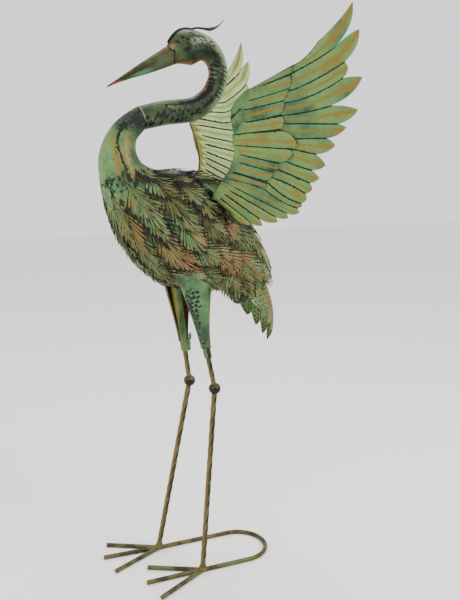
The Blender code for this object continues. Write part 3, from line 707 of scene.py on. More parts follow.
neck = {
    # x, z, half height, half width from the joint to the beak
    "stations": [
        (-0.0855, 0.9138, 0.0222, 0.0222), (-0.0398, 0.9245, 0.0229, 0.0229),
        (0.0138, 0.9317, 0.0223, 0.0222), (0.0402, 0.9448, 0.0211, 0.0210),
        (0.0610, 0.9660, 0.0202, 0.0200), (0.0725, 1.0000, 0.0189, 0.0190),
        (0.0640, 1.0300, 0.0200, 0.0195), (0.0420, 1.0470, 0.0246, 0.0225),
        (0.0111, 1.0466, 0.0330, 0.0250), (-0.0054, 1.0405, 0.0288, 0.0220),
        (-0.0213, 1.0311, 0.0186, 0.0160)],
    "rings": 230, "around": 84, "joint": 0.0014, "brow": 0.0012, "cheek": 0.0010, "seed": 11,
}
neckLine = through(neck["stations"])
neckLengths = lengths(neckLine)


def bendFrame(line, total, distance):
    step = 0.001
    x, z, height, width = atDistance(line, total, distance)
    before = atDistance(line, total, max(distance - step, 0.0))
    after = atDistance(line, total, min(distance + step, total[-1]))
    run = Vector((after[0] - before[0], 0.0, after[1] - before[1])).normalized()
    return Vector((x, 0.0, z)) + stand, run, Vector((-run.z, 0.0, run.x)), height, width


def neckStrokes(pick):
    # the painter's marks on one side of the neck and head, as places in the middle plane
    marks = strokeLine([(-88, 944), (-72, 944), (-56, 946), (-39, 950), (-27, 954), (-15, 960), (-4, 968),
                        (4, 977), (9, 987)], [1.4, 2.2, 3.2, 4.4, 6.0, 7.2, 7.4, 6.2, 4.2])
    marks += dabs([(-46, 1043), (-44, 1045)], 8.4)
    for x, z in [(-44, 1063), (-38, 1068), (-32, 1071), (-25, 1069), (-19, 1071), (-12, 1068), (-9, 1062),
                 (-46, 1055), (-38, 1053), (-30, 1051), (-23, 1053), (-16, 1056), (-9, 1052), (-3, 1057),
                 (1, 1052), (-18, 1063), (-31, 1061), (4, 1061), (8, 1054), (-54, 1066), (-38, 1075),
                 (-62, 1057), (5, 1045), (9, 1040)]:
        marks += strokeLine([(x - 1.5, z + 0.5), (x + 2.2, z - 1.2)], [3.4, 3.8])
    for x, z in [(15, 1026), (13, 1019), (11, 1011), (9, 1003), (6, 994), (3, 987), (17, 1034),
                 (12, 1040), (0, 981)]:
        marks += strokeLine([(x - 5, z + 1), (x + 6, z - 2)], [3.2, 5.0])
    for x, z in [(28, 1016), (29, 1008), (29, 1000), (28, 991), (25, 983), (22, 974), (19, 967),
                 (15, 961)]:
        marks += strokeLine([(x - 6, z + 5), (x + 7, z - 2)], [1.8, 2.8])
    for x, z in [(-124, 918), (-119, 909), (-109, 916), (-97, 920), (-92, 927), (-80, 933), (-72, 929),
                 (-62, 935), (-56, 929), (-50, 937), (-42, 933), (-33, 941), (-23, 936), (-18, 928),
                 (-124, 906), (-113, 908), (-85, 920), (-74, 918), (-64, 921), (-55, 916), (-46, 920),
                 (-36, 926), (-28, 931), (-104, 926), (-88, 937), (-10, 940), (-5, 950), (3, 957),
                 (-14, 946), (-66, 912), (-44, 911), (-96, 911)]:
        turn = pick.uniform(0.1, 1.4)
        reach = pick.uniform(4.5, 8.5)
        end = (x - cos(turn) * reach * 0.6, z + reach / 2 - sin(turn) * reach)
        marks += strokeLine([(x, z + reach / 2), end], [4.6, 3.0])
    return marks


headSeam = [(-79, 1052), (-76, 1043), (-67, 1040), (-69, 1033), (-67, 1024), (-64, 1018)]  # round the beak


def neckAndHead():
    mesh = newMesh()
    marks = neckStrokes(random.Random(neck["seed"]))
    blush = dabs([(-73, 1049)], 11)
    seam = strokeLine(headSeam, [2.6] * len(headSeam))
    loops = []
    total = neckLengths[-1]
    lean = radians(trunk["stations"][0][-1])
    jointTop = Vector((-cos(lean), 0.0, -sin(lean)))
    jointRun = Vector((jointTop.z, 0.0, -jointTop.x))
    for ring in range(neck["rings"] + 1):
        share = ring / neck["rings"]
        distance = total * share
        centre, run, top, height, width = bendFrame(neckLine, neckLengths, distance)
        blend = smooth(0.0, 0.02, distance)
        top = (jointTop * (1 - blend) + top * blend).normalized()
        centre = centre + jointRun * neck["joint"] * (1 - blend)
        browZone = bell(distance, total * 0.90, 0.020)
        loop = []
        for turn in turns(neck["around"]):
            up, side = cos(turn), sin(turn)
            swell = neck["brow"] * browZone * bell(up, -0.45, 0.28)
            swell += neck["cheek"] * browZone * bell(up, 0.25, 0.3)
            radial = 1.0 + swell / height
            point = centre + top * height * up * radial + Vector((0, width * side * radial, 0))
            place = ragged(point, 0.0030)
            black = strokeDistance(place, marks) * smooth(0.05, 0.25, abs(side)) * 1.05
            if distance > total - 0.02:
                black = max(black, strokeDistance(place, seam) * 0.9)
            crown = smooth(-0.80, -0.99, up) * smooth(0.80, 0.86, share)
            inner = smooth(0.45, 0.95, up) * smooth(0.30, 0.48, share)
            # outer is the outer side of the neck's bend; the pale paint there is a painted highlight
            outer = smooth(0.2, -0.7, up) * smooth(0.30, 0.5, share) * (1 - smooth(0.80, 0.90, share))
            loop.append((point, {
                "black": max(black, crown * 0.8 - 0.15, -0.25),
                "warm": 0.66 * inner + 0.22 * smooth(-0.5, -1.0, up),
                "streak": 0.56 * inner * smooth(0.5, 0.95, up)
                + max(0.0, 0.8 * strokeDistance(place, blush)),
                "pale": 0.80 * outer + 1.6 * smooth(0.0030, 0.0, distance) * smooth(-0.5, 0.1, up),
                "grain": (turn * 3.0, distance * 24, 2.0)}))
        loops.append(loop)
    addTube(mesh, loops)
    return makePiece("neckAndHead", mesh, neckWash, ["upper_neck"], sharp=50)


neckAndHead()


print("stage: beak and crest")
beak = {
    "stations": [(-0.0213, 1.0311, 0.0183, 0.0155), (-0.0721, 1.0061, 0.0121, 0.0090),
                 (-0.1101, 0.9880, 0.0058, 0.0050), (-0.1474, 0.9686, 0.0010, 0.0012)],
    "rings": 90, "around": 48, "groove": 0.0009,
}


def beakBlade():
    mesh = newMesh()
    line = through(beak["stations"])
    total = lengths(line)
    headTop = bendFrame(neckLine, neckLengths, neckLengths[-1])[2]
    seam = strokeLine(headSeam, [2.2] * len(headSeam))
    stroke = strokeLine([(-176, 983), (-150, 997), (-128, 1008), (-105, 1019)], [1.0, 1.8, 2.0, 1.2])
    loops = []
    for ring in range(beak["rings"] + 1):
        share = ring / beak["rings"]
        distance = total[-1] * ring / beak["rings"]
        centre, run, top, height, width = bendFrame(line, total, distance)
        blend = smooth(0.0, 0.03, distance)
        top = (headTop * (1 - blend) + top * blend).normalized()
        parted = smooth(0.0, 0.02, distance) * smooth(1.0, 0.8, share)
        loop = []
        for turn in turns(beak["around"]):
            up, side = cos(turn), sin(turn)  # run points to the tip, so up is the lower jaw
            mouth = bell(up, -0.12, 0.09) * parted
            point = centre + top * height * up + Vector((0, (width - beak["groove"] * mouth) * side, 0))
            place = (point.x, point.z)
            black = max(strokeDistance(place, stroke) * 0.8, strokeDistance(place, seam),
                        mouth * 0.45 - 0.1, smooth(-0.75, -1.0, up) * 0.55,
                        smooth(0.93, 1.0, share) * 0.9, -0.2)
            rust = smooth(0.74, 0.82, share) * smooth(0.97, 0.9, share) * smooth(-0.5, 0.3, up)
            loop.append((point, {
                "black": black, "warm": 0.55 * smooth(0.35, 0.0, share) + 0.35 * smooth(-0.2, -0.8, up),
                "streak": 0.95 * rust, "pale": 0.8 * bell(share, 0.5, 0.22) * smooth(-0.1, 0.5, up),
                "grain": (turn * 2.0, distance * 14, 4.0)}))
        loops.append(loop)
    addTube(mesh, loops)
    return makePiece("beakBlade", mesh, beakLacquer, ["beak"], sharp=50)


beakBlade()

crest = {
    "halfWidth": 0.0036, "halfThick": 0.0021, "tipThick": 0.0004, "start": 0.985, "leaves": 0.860,
    "onHead": 5, "sides": 10, "smoothing": 12, "over": 0.0012,
    "tail": [(0.0300, 1.0827), (0.0440, 1.0822), (0.0560, 1.0822), (0.0710, 1.0880), (0.0871, 1.1028)],
}


def crestPlume():
    mesh = newMesh()
    path = []
    for step in range(crest["onHead"] + 1):
        share = between(crest["start"], crest["leaves"], step / crest["onHead"])
        centre, run, top, height, width = bendFrame(neckLine, neckLengths, neckLengths[-1] * share)
        path.append(centre - top * (height + crest["over"]))
    attached = len(path) * crest["smoothing"]
    path += [Vector((x, 0.0, z)) + stand for x, z in crest["tail"]]
    path = [Vector(place) for place in through([tuple(place) for place in path], crest["smoothing"])]
    loops = []
    for index, point in enumerate(path):
        run = (path[min(index + 1, len(path) - 1)] - path[max(index - 1, 0)]).normalized()
        rise = Vector((-run.z, 0.0, run.x))
        fade = clamp((index - attached) / (len(path) - 1 - attached))
        swell = 1.0 + 1.1 * bell(fade, 0.55, 0.22) * (fade > 0)
        thick = between(crest["halfThick"], crest["tipThick"], fade ** 2) * swell
        wide = between(crest["halfWidth"], crest["tipThick"], fade ** 2)
        paint = {"pale": 0.5 * smooth(0.55, 0.9, fade) - 0.3, "black": 0.5 - 0.3 * fade}
        loops.append([(point + rise * thick * cos(turn) + Vector((0, wide * sin(turn), 0)),
                       dict(paint, grain=(k * 0.5, index * 0.2, 0.0)))
                      for k, turn in enumerate(turns(crest["sides"]))])
    addTube(mesh, loops)
    return makePiece("crestPlume", mesh, crestEnamel, ["crest"], sharp=60)


crestPlume()


print("stage: wings")
# places on a wing's plane in millimetres of the frame: x, z
wing = {
    "tips": [(177, 1107), (194, 1064), (186, 1004), (212, 986), (214, 931), (200, 900), (187, 868),
             (176, 832), (169, 808), (160, 787), (153, 769), (147, 756), (144, 742), (126, 732),
             (109, 724), (83, 717), (59, 717)],
    "notches": [(133, 1045), (160, 1034), (180, 1011), (181, 984), (169, 938), (186, 906), (171, 881),
                (157, 852), (154, 823), (154, 799), (150, 779), (145, 760), (140, 751), (122, 741),
                (104, 734), (76, 731), (61, 723), (24, 742)],
    "starts": [(97, 1006), (97, 992), (105, 965), (95, 943), (89, 921), (97, 907), (122, 880), (122, 860),
               (114, 837), (100, 823), (90, 809), (85, 798), (81, 785), (46, 782), (38, 774), (23, 787),
               (10, 771), (-12, 772)],
    "bows": [3, 2, 3, 7, 3, 0, 0, 0, 1, 0, -2, 5, 4, 0, 0, 0, 0, 0],  # how far each border sags
    "edge": [(33, 968), (25, 963), (14, 950), (7, 935), (8, 915), (17, 888), (19, 869), (20, 854),
             (19, 840), (13, 820), (4, 803)],
    "panelStarts": [(37, 970), (36, 966), (38, 949), (32, 933), (36, 911), (20, 889), (24, 869),
                    (34, 852), (33, 837), (24, 820), (14, 807)],
    "joints": [(97, 1006), (97, 992), (97, 968), (90, 946), (88, 921), (90, 897), (109, 863), (93, 837),
               (85, 820), (79, 801), (77, 791)],
    "ends": [(99, 1001), (99, 979), (96, 959), (94, 938), (97, 910), (122, 877), (117, 848), (98, 827),
             (89, 813), (81, 794)],
    "root": [(4, 803), (1, 796), (-3, 788), (-8, 780), (-12, 772)],  # the edge below the coverts
    "covered": 13, "hiddenRows": 12, "crown": 0.0024, "panelCrown": 0.0022, "step": 0.0032, "bulge": 0.0125,
    # the far wing's extra pale below is a painted highlight
    "roll": 0.0030, "lineWidth": 0.0024, "rimWidth": 0.0022, "farWingHighlight": 0.54, "seed": 21,
    "across": (-1, -0.94, -0.82, -0.5, 0.0, 0.5, 0.82, 0.94, 1),
    "bladeRows": 18, "tipRows": 12, "panelRows": 22,
}
wing["feathers"] = len(wing["tips"])


def bladePaint(w, half, t, free, feather, streakAt):
    # ochre centre streak, olive tip, black line in the groove but not round the free tip
    edge = (1 - abs(w)) * half
    line = 1.0 - edge / wing["lineWidth"]
    black = max(line * (1 - free) * 0.95, (0.42 - edge / wing["rimWidth"]) * free * 0.8, -0.3)
    centre = bell(w, -0.05, 0.36)
    streak = centre * (0.45 + 0.55 * bell(t, streakAt, 0.26))
    return {"black": black, "warm": 0.76 * centre + 0.34 * free * t, "streak": 0.70 * streak - 0.06,
            "pale": 0.20 * smooth(0.3, 0.9, abs(w)) * (1 - free), "tone": feather["tone"],
            "grain": (w * half * 420 + feather["seed"] * 7, t * 5.0 + feather["seed"], feather["seed"])}


def covertLift(border, t):  # height of the coverts' face, from their root at t 0 to their ends at t 1
    share = border / wing["covered"]
    return (wing["bulge"] * bell(share, 0.0, 0.75) * (1 - t) ** 1.1 + wing["step"] * t
            - wing["roll"] * smooth(0.16, 0.0, t))


def bladeEdges(i):
    # upper and lower outline of flight feather i: from the leading edge under the coverts, along its
    # borders to the notches, then round the free tip
    edges = []
    tip = wing["tips"][i]
    for which, border in ((0, i), (1, i + 1)):
        start, notch = wing["starts"][border], wing["notches"][border]
        if border >= wing["covered"]:
            edge = wing["root"][border - wing["covered"]]
            start = mix(edge, notch, 0.25)
        else:
            edge = atShare(wing["edge"], border / wing["covered"])
        middle = ((start[0] + notch[0]) / 2, (start[1] + notch[1]) / 2 - wing["bows"][border] * 2)
        if border == 0:
            middle = (middle[0] + 2, middle[1] - 6)
        reach = (tip[0] - notch[0], tip[1] - notch[1])
        out = (-reach[1], reach[0]) if which == 0 else (reach[1], -reach[0])
        swell = (0.06 if i else -0.04) if which == 0 else 0.13
        turn = tuple(notch[n] + reach[n] * 0.55 + out[n] * swell * 2 for n in (0, 1))
        line = [mix(edge, start, k / wing["hiddenRows"]) for k in range(wing["hiddenRows"])]
        line += [bow(start, middle, notch, k / wing["bladeRows"]) for k in range(wing["bladeRows"])]
        line += [bow(notch, turn, tip, k / wing["tipRows"]) for k in range(wing["tipRows"] + 1)]
        edges.append(line)
    return edges


def addFlightFeathers(mesh, side, pick):
    hidden = wing["hiddenRows"]
    for i in range(wing["feathers"]):
        upper, lower = bladeEdges(i)
        feather = {"tone": pick.gauss(0.0, 0.05), "seed": pick.uniform(0, 40)}
        streakAt = pick.uniform(0.62, 0.9)
        grid = []
        last = len(upper) - 1 - hidden
        for row, (one, two) in enumerate(zip(upper, lower)):
            t = max(0, row - hidden) / last
            under = min(row / hidden, 1.0)
            half = hypot(one[0] - two[0], one[1] - two[1]) / 2 * mm
            free = smooth(wing["bladeRows"] / last - 0.02, wing["bladeRows"] / last + 0.06, t)
            inRoot = smooth(0.3, 1.0, under) if i >= wing["covered"] else smooth(0.0, 0.16, t)
            crown = min(wing["crown"], 0.24 * half) * inRoot
            line = []
            for w in wing["across"]:
                x, z = mix(one, two, (w + 1) / 2)
                pillow = crown * (1 - abs(w) ** 3.2)
                tuck = covertLift(i + (w + 1) / 2, under) - 0.0016
                tuck = tuck * (1 - smooth(0.55, 0.95, under)) - 0.0003
                paint = bladePaint(w, half, t, free, feather, streakAt)
                if i >= wing["covered"]:
                    paint["black"] = paint["black"] * inRoot - 0.2 * (1 - inRoot)
                if side > 0:
                    paint["black"] += 0.30 * smooth(0.0, 0.4, paint["black"])
                    paint["warm"] = paint["warm"] * 0.8 + 0.7 * smooth(0.30, 0.0, under)
                    paint["black"] = between(-0.2, paint["black"], smooth(0.10, 0.3, under))
                line.append((wingPoint(x * mm, z * mm, pillow + tuck, side), wingNormal(side), paint))
            grid.append(line)
        addSheet(mesh, grid, sheetThickness)


wristLine = strokeLine([(-1, 908), (8, 918), (16, 927), (22, 934)], [3.0, 4.6, 4.2, 2.8])


def addCoverts(mesh, side, pick):
    # ten rounded panels in front of the flight feathers, which run out into a smooth wrist
    panels = len(wing["ends"])
    lines = [through(points, 12) for points in zip(wing["edge"], wing["panelStarts"], wing["joints"])]
    for k in range(panels):
        feather = {"tone": pick.gauss(0.0, 0.05), "seed": pick.uniform(0, 40)}
        first, second, end = wing["joints"][k], wing["joints"][k + 1], wing["ends"][k]
        push = (end[0] - (first[0] + second[0]) / 2, end[1] - (first[1] + second[1]) / 2)
        half = hypot(first[0] - second[0], first[1] - second[1]) / 2 * mm
        grid = []
        for row in range(wing["panelRows"] + 1):
            t = row / wing["panelRows"]
            shown = smooth(0.34, 0.55, t)
            line = []
            for w in wing["across"]:
                x, z = mix(atShare(lines[k], t), atShare(lines[k + 1], t), (w + 1) / 2)
                rounded = (1 - abs(w) ** 2.4) ** 0.6 * smooth(0.45, 1.0, t)
                x, z = x + push[0] * rounded, z + push[1] * rounded
                lift = covertLift(k + (w + 1) / 2, t)
                lift += min(wing["panelCrown"], 0.24 * half) * (1 - abs(w) ** 3.2) * shown
                lift -= (wing["step"] * 0.55) * smooth(0.90, 1.0, t) ** 2
                paint = bladePaint(w, half, 0.3 + t * 0.5, 0.0, feather, 0.68)
                border = paint["black"] * smooth(0.36, 0.5, t) - 0.2 * (1 - shown)
                paint["black"] = max(border, smooth(0.955, 1.0, t) * 0.75 - 0.2,
                                     strokeDistance((x * mm, z * mm), wristLine) - 0.1)
                paint["warm"] = paint["warm"] * shown + 0.22 * (1 - shown)
                paint["streak"] *= shown
                paint["pale"] *= shown
                paint["tone"] = feather["tone"] * shown - 0.12 * (1 - shown)
                line.append((wingPoint(x * mm, z * mm, lift, side), wingNormal(side), paint))
            grid.append(line)
        addSheet(mesh, grid, sheetThickness)


def wingPiece(name, side, node):
    mesh = newMesh()
    pick = random.Random(wing["seed"])
    addFlightFeathers(mesh, side, pick)
    addCoverts(mesh, side, pick)
    if side > 0:  # painted highlight: the far wing is painted paler on both faces, for the key light that falls on its inside
        mesh["pale"] = [value + wing["farWingHighlight"] for value in mesh["pale"]]
    return makePiece(name, mesh, verdigrisWash, [node], sharp=38)


wingPiece("wingLeft", -1.0, "wing_left")
wingPiece("wingRight", 1.0, "wing_right")


print("stage: tail")


def tailFan():
    mesh = newMesh()
    pick = random.Random(tail["seed"])
    count = tail["feathers"]
    for i in range(count):
        feather = {"tone": pick.gauss(0.0, 0.06), "seed": pick.uniform(0, 40)}
        tip = tailTip(2 * i / (count - 1) - 1)
        edges = []
        for border, sign in ((i, -1), (i + 1, 1)):
            v = 2 * border / count - 1
            spread = clamp(2 * (border - 0.5 + tail["sweep"]) / (count - 1) - 1, -1.0, 1.0)
            start, notch = tailRoot(v), tailTip(spread)
            notch = notch + (start - notch) * tail["notch"]
            line = [start + (notch - start) * (k / tail["rows"]) for k in range(tail["rows"])]
            swell = Vector((0, sign * 0.004, -0.003))
            line += [Vector(bow(notch, (notch + tip) / 2 + swell, tip, k / tail["tipRows"]))
                     for k in range(tail["tipRows"] + 1)]
            edges.append(line)
        last = len(edges[0]) - 1
        grid = []
        for row in range(last + 1):
            one, two = edges[0][row], edges[1][row]
            t = row / last
            half = (two - one).length / 2
            free = smooth(tail["rows"] / last - 0.02, tail["rows"] / last + 0.06, t)
            line = []
            for step in range(tail["across"] + 1):
                w = 2 * step / tail["across"] - 1
                point = one.lerp(two, (w + 1) / 2)
                v = point.y / tail["halfWidth"]
                out = Vector((1.0, 0.55 * v, 0.25 * (1 - t))).normalized()
                bulge = tail["bulge"] * sin(pi * t) * (1.0 - 0.5 * v * v)
                lift = min(tail["crown"], 0.26 * half) * (1 - abs(w) ** 2.6) + bulge - 0.0002
                paint = bladePaint(w, half, t, free, feather, 0.6)
                paint["warm"] = paint["warm"] * 0.6 + tail["ochre"][i]
                paint["black"] = paint["black"] * 0.8 - 0.1
                paint["streak"] = paint["streak"] * 0.6
                along = t * (tip - edges[0][0]).length / tail["dotPitch"]
                for lane in tail["dotLanes"]:  # two rows of black dots down each feather
                    miss = hypot((w - lane) * half, (along - round(along)) * tail["dotPitch"])
                    paint["black"] = max(paint["black"], 1.3 * (1 - miss / tail["dotRadius"]))
                line.append((point + out * lift, out, paint))
            grid.append(line)
        olive = {"warm": 0.38, "streak": 0.25, "tone": -0.12}
        addSheet(mesh, grid, sheetThickness, olive if i < tail["nearFeathers"] else {"tone": -0.08})
    return makePiece("tailFan", mesh, verdigrisWash, ["tail"], sharp=40)


tailFan()


print("stage: legs")


def hub(side):
    return Vector((feet["hubs"][side], outward(side) * feet["spacing"] / 2, 0.0))


def barLoop(centre, axis, diameter, angle, along=0.0):
    sideways = axis.cross(Vector((1, 0, 0))).normalized()
    third = axis.cross(sideways)
    loop = []
    for k, turn in enumerate(turns(legs["barSides"])):
        corner = abs(cos(2 * turn)) ** 3 if cos(4 * turn) > 0 else 0.0
        radius = diameter / 2 * between(legs["barFlat"], 1.0, abs(cos(2 * turn)) ** 2)
        point = centre + sideways * radius * cos(turn + angle) + third * radius * sin(turn + angle)
        flat = int(((turn + pi / 4) % (2 * pi)) / (pi / 2))
        # painted light and shade: each bar is painted blacker on the side facing +X as painted shade, and
        # gets ochre on the side facing -X as painted light, as if lit from -X
        shade = (sideways * cos(turn + angle) + third * sin(turn + angle)).dot(Vector((0.85, -0.1, 0.0)))
        loop.append((point, {
            "black": 0.36 - 0.55 * corner + (0.16 if flat % 2 else 0.0) + 0.50 * shade - 0.04,
            "warm": 0.30 * corner + 0.6 * smooth(0.0, -0.6, shade), "tone": 0.12 if flat == 2 else 0.0,
            "grain": (k * 0.9, along * 26, diameter * 1000)}))
    return loop


def addTwistedBar(mesh, start, end, diameter, weld=None):
    run = end - start
    count = ceil(run.length / legs["step"])
    loops = [barLoop(start + run * k / count + stand, run.normalized(), diameter,
                     2 * pi * run.length * k / count / legs["pitch"], run.length * k / count)
             for k in range(count + 1)]
    if weld:  # the first loop, spread over the rod below
        rust = [dict(paint, streak=0.4, black=0.0) for point, paint in loops[0]]
        loops.insert(0, list(zip(weld, rust)))
    addTube(mesh, loops)


def legPiece(kind, node, side, mesh, material, sharp):
    return makePiece(kind + side.capitalize(), mesh, material, [node + side], sharp=sharp)


def shinPiece(side):
    mesh = newMesh()
    knee = Vector(legs["knees"][side])
    foot = hub(side) + Vector((0, 0, feet["rod"] / 2))
    axis = (knee - foot).normalized()
    weld = [point - axis * ((point.z - foot.z - stand.z) / axis.z)
            for point, paint in barLoop(foot + stand, axis, legs["shin"] * legs["weldSwell"], 0.0)]
    addTwistedBar(mesh, foot + axis * legs["weldHeight"], knee - axis * legs["kneeHold"], legs["shin"], weld)
    return legPiece("shin", "shin_", side, mesh, barPatina, 60)


def upperBar(side):
    mesh = newMesh()
    knee, hip = Vector(legs["knees"][side]), Vector(legs["hips"][side])
    axis = (hip - knee).normalized()
    length = (hip - knee).length * legs["tubeBottom"] + legs["barInside"]
    addTwistedBar(mesh, knee + axis * legs["kneeHold"], knee + axis * length, legs["upper"])
    return legPiece("upperBar", "upper_bar_", side, mesh, barPatina, 60)


def addLump(mesh, centre, radii, paint, seed, rough=0.16, rings=14, sides=22):
    rows = []
    for ring in range(1, rings):
        tilt = pi * ring / rings
        row = []
        for turn in turns(sides):
            ray = Vector((sin(tilt) * cos(turn), sin(tilt) * sin(turn), cos(tilt)))
            swell = 1.0 + rough * wobble(ray, 0.55, seed)
            point = centre + Vector(r * c * swell for r, c in zip(radii, ray))
            row.append(addPoint(mesh, point, paint(ray)))
        rows.append(row)
    addRows(mesh, rows, around=True)
    mesh["faces"] += [tuple(rows[0][::-1]), tuple(rows[-1])]


def kneePiece(side):
    mesh = newMesh()
    radius = legs["ball"] / 2
    # the pale on the ball's upper side, turned a little towards +X, is a painted highlight
    addLump(mesh, Vector(legs["knees"][side]) + stand, (radius, radius, radius * 0.985), lambda ray: {
        "black": 0.75 * smooth(0.1, 0.75, ray.dot(Vector((-0.1, -0.8, -0.55)))) - 0.15,
        "warm": 0.2, "pale": 0.35 * smooth(0.2, 0.9, ray.z + 0.3 * ray.x)}, 3.0, 0.012, 30, 44)
    return legPiece("knee", "knee_", side, mesh, barPatina, 60)


def tubePaint(side, t, turn, inside):
    dark = brown = 0.0
    if side == "left":
        dark = 0.9 * smooth(0.20, 0.04, t) * smooth(0.3, 0.9, cos(turn + 1.0))
    else:
        brown = 0.42 * smooth(0.24, 0.08, t)
    fold = 0.5 * smooth(0.3, 0.0, abs(cos(turn + 0.9)))
    return {"black": dark - 0.1 + 0.6 * brown + (0.5 if inside else 0.0), "tone": -0.08,
            "warm": fold + 0.42 * smooth(0.15, 0.5, t) + brown,
            "streak": 0.55 * bell(cos(turn), -0.95, 0.12), "grain": (turn * 2, t * 6, 5.0)}


def tubePiece(side):
    mesh = newMesh()
    low, high = legPoint(side, legs["tubeBottom"]) + stand, legPoint(side, legEnd(side)) + stand
    loops = []
    rows = legs["tubeRows"]
    for wall, order in ((0.0, range(rows + 1)), (sheetThickness, range(rows, -1, -1))):
        for row in order:
            t = row / rows
            radius = between(legs["tubeLow"], legs["tubeHigh"], t) - wall
            loops.append([(low.lerp(high, t) + Vector((radius * cos(turn), radius * sin(turn), 0.0)),
                           tubePaint(side, t, turn, wall > 0)) for turn in turns(legs["tubeSides"])])
    rings = addTube(mesh, loops, closed=False)
    addRows(mesh, [rings[-1], rings[0]], around=True)
    if side == "right":  # a weld tab with a bead on the seam, facing the other leg
        seat = low.lerp(high, legs["tabAt"]) + Vector(legs["tabShift"])
        grey = {"pale": 0.2, "black": 0.16, "tone": -0.1}
        for shift, radii in legs["tabBeads"]:
            addLump(mesh, seat + Vector(shift), radii, lambda ray: grey, 9.0, 0.3, 12, 16)
    return legPiece("legTube", "leg_tube_", side, mesh, verdigrisWash, 40)


cowlMarks = {
    "mottle": dabs([(-63, 593), (-55, 590), (-46, 592), (-62, 584), (-53, 582), (-45, 583), (-53, 571),
                    (-44, 572), (-53, 563), (-46, 565), (-37, 562), (-51, 554), (-44, 554), (-49, 545),
                    (-41, 543), (-50, 536), (-45, 527), (-37, 529), (-44, 517), (-39, 512), (-37, 503),
                    (-33, 489), (-26, 485)], 5.6)
    + strokeLine([(-59, 574), (-55, 556), (-51, 538), (-46, 520), (-41, 504), (-34, 487)],
                 [4.0, 4.4, 5.4, 5.4, 4.8, 4.8]),
    "band": strokeLine([(-56, 590), (-52, 565), (-48, 540), (-42, 515), (-35, 488)], [16, 15, 13, 11, 9]),
}


def cowlPiece(side):
    mesh = newMesh()
    out = outward(side)
    grid = []
    for row in range(legs["cowlRows"] + 1):
        foot = smooth(0.05, 0.0, row / legs["cowlRows"])
        line = []
        for k in range(legs["cowlSteps"] + 1):
            turn = radians(90.0 + legs["cowlWrap"] * (k / legs["cowlSteps"] - 0.5))
            top = legEnd(side) - legs["cowlDrop"] * smooth(-0.5, 1.0, cos(turn))
            share = between(legs["cowlBottom"], top, row / legs["cowlRows"])
            centre, halfX, halfY = cowlSection(side, share)
            point = centre + Vector((halfX * cos(turn), out * halfY * sin(turn), 0.0))
            rim = smooth(0.06, 0.0, min(k, legs["cowlSteps"] - k) / legs["cowlSteps"])
            black = 0.7 * foot - 0.1
            if side == "left":
                place = ragged(point, 0.0035)
                black = max(black, strokeDistance(place, cowlMarks["mottle"]) * 0.9,
                            min(0.36, 0.9 * strokeDistance(place, cowlMarks["band"])))
            paint = {"black": black, "warm": 0.20 + 0.3 * rim + 0.25 * smooth(0.3, 0.9, cos(turn)),
                     "streak": 0.75 * rim * (cos(turn) > 0) - 0.05, "tone": -0.16,
                     "grain": (turn * 2.2, share * 5, 8.0)}
            line.append((point, Vector((cos(turn), out * sin(turn), 0.0)), paint))
        grid.append(line)
    addSheet(mesh, grid, sheetThickness, {"black": 0.32, "warm": 0.9, "streak": 0.3})
    return legPiece("cowl", "thigh_", side, mesh, verdigrisWash, 40)


for legSide in ("left", "right"):
    shinPiece(legSide)
    upperBar(legSide)
    kneePiece(legSide)
    tubePiece(legSide)
    cowlPiece(legSide)


print("stage: feet")


def toeDirection(degrees):
    return Vector((-cos(radians(degrees)), sin(radians(degrees)), 0.0))


def addRod(mesh, path, seed):
    radius = feet["rod"] / 2
    loops = []
    travelled = 0.0
    for index, point in enumerate(path):
        before = (point - path[index - 1]).normalized() if index else None
        after = (path[index + 1] - point).normalized() if index + 1 < len(path) else None
        if index:
            travelled += (point - path[index - 1]).length
        run = ((before or after) + (after or before)).normalized()
        across = Vector((-run.y, run.x, 0.0)) / run.dot(after or before)
        loop = []
        for k in range(feet["sides"]):
            turn = 2 * pi * (k + 0.5) / feet["sides"]
            corner = point + across * radius * cos(turn) + Vector((0, 0, radius * sin(turn))) + stand
            loop.append((corner, {
                "black": 0.03 + 0.12 * sin(turn), "warm": 0.24 - 0.3 * sin(turn), "tone": 0.04,
                "streak": -0.1 - 0.3 * sin(turn), "grain": (turn * 1.5 + seed, travelled * 18, seed)}))
        loops.append(loop)
    addTube(mesh, loops)


def splitPath(points, step=0.006):
    path = []
    for one, two in zip(points, points[1:]):
        count = max(1, round((two - one).length / step))
        path += [one.lerp(two, k / count) for k in range(count)]
    return path + [points[-1]]


def footLoop():
    mesh = newMesh()
    radius = feet["spacing"] / 2
    arc = []
    for k in range(feet["arcSteps"] + 1):
        turn = pi * k / feet["arcSteps"]
        arc.append(Vector((feet["loopEnd"] + radius * sin(turn), -radius * cos(turn), 0)))
    ends = [hub(side) + toeDirection(feet["toes"][side]["middle"][1]) * feet["toes"][side]["middle"][0]
            for side in ("left", "right")]
    leftRun = splitPath([ends[0], hub("left"), arc[0]])
    rightRun = splitPath([arc[-1], hub("right"), ends[1]])
    addRod(mesh, leftRun[:-1] + arc + rightRun[1:], 1.0)
    return makePiece("footLoop", mesh, barPatina, ["foot_loop"], sharp=50)


def sideToe(side, which):
    mesh = newMesh()
    length, degrees = feet["toes"][side][which]
    run = toeDirection(degrees)
    addRod(mesh, splitPath([hub(side) + run * 0.006, hub(side) + run * length]), length * 100)
    return makePiece("toe" + side.capitalize() + which.capitalize(), mesh, barPatina,
                     ["toe_" + side + "_" + which], sharp=50)


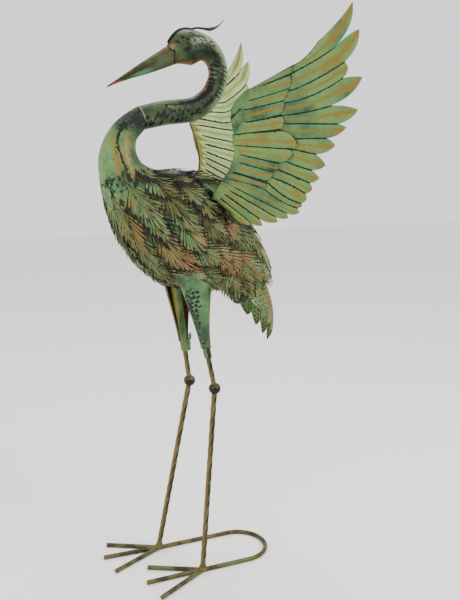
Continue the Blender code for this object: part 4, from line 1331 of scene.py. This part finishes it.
def hubWelds():
    mesh = newMesh()
    pick = random.Random(feet["seed"])
    rusty = {"streak": 0.42, "warm": 0.6, "black": 0.12}
    for side in ("left", "right"):
        centre, toes = hub(side) + stand, feet["toes"][side]
        top = centre + Vector((0, 0, feet["weldUp"]))
        addLump(mesh, top, feet["weldRadii"], lambda ray: rusty, pick.uniform(0, 9), 0.22)
        for degrees in (toes["inner"][1] / 2, toes["outer"][1] / 2, 180.0):
            bead = centre + toeDirection(degrees) * feet["beadOut"] + Vector((0, 0, feet["beadUp"]))
            addLump(mesh, bead, feet["beadRadii"], lambda ray: rusty, pick.uniform(0, 9), 0.3, 10, 16)
    return makePiece("hubWelds", mesh, barPatina, sharp=60)


footLoop()
for legSide in ("left", "right"):
    for whichToe in ("inner", "outer"):
        sideToe(legSide, whichToe)
hubWelds()


print("stage: floor, light and camera")
studio = {
    "floorSize": 14.0, "floorColour": "#f4f4f2", "world": "#ffffff", "worldPower": 1.35,
    "cameraAt": (-0.48749, -1.35834, 0.83334), "lookAt": (0.08225, -0.03542, 0.56118), "lens": 43.8,
}


def plainFloor():
    half = studio["floorSize"] / 2
    data = bpy.data.meshes.new("floor")
    corners = [(-half, -half, 0), (half, -half, 0), (half, half, 0), (-half, half, 0)]
    data.from_pydata(corners, [], [(0, 1, 2, 3)])
    material = bpy.data.materials.new("paleFloor")
    material.use_nodes = True
    shader = material.node_tree.nodes["Principled BSDF"]
    shader.inputs["Base Color"].default_value = linear(studio["floorColour"])
    shader.inputs["Roughness"].default_value = 0.9
    data.materials.append(material)
    floor = bpy.data.objects.new("floor", data)
    bpy.context.collection.objects.link(floor)


def softLight(name, place, target, size, power, colour="#ffffff"):
    light = bpy.data.lights.new(name, "AREA")
    light.shape = "DISK"
    light.size = size
    light.energy = power
    light.color = linear(colour)[:3]
    lamp = bpy.data.objects.new(name, light)
    lamp.location = place
    lamp.rotation_euler = (Vector(target) - Vector(place)).to_track_quat("-Z", "Y").to_euler()
    bpy.context.collection.objects.link(lamp)


def studioCamera():
    lens = bpy.data.cameras.new("camera")
    lens.sensor_fit = "VERTICAL"
    lens.sensor_height = 36.0
    lens.lens = studio["lens"]
    lens.clip_end = 50.0
    camera = bpy.data.objects.new("camera", lens)
    place = Vector(studio["cameraAt"]) + stand
    camera.location = place
    camera.rotation_euler = (Vector(studio["lookAt"]) + stand - place).to_track_quat("-Z", "Y").to_euler()
    bpy.context.collection.objects.link(camera)
    bpy.context.scene.camera = camera


plainFloor()
sky = bpy.data.worlds.new("sky")
sky.use_nodes = True
sky.node_tree.nodes["Background"].inputs["Color"].default_value = linear(studio["world"])
sky.node_tree.nodes["Background"].inputs["Strength"].default_value = studio["worldPower"]
bpy.context.scene.world = sky
softLight("keyLight", (1.6, -1.9, 2.4), (0.0, 0.0, 0.6), 1.2, 60)
softLight("fillLight", (-2.2, -1.4, 1.6), (0.0, 0.0, 0.6), 1.6, 25)
softLight("topLight", (0.1, 0.6, 2.9), (0.0, 0.0, 0.6), 1.4, 25)
studioCamera()

bpy.context.view_layer.update()
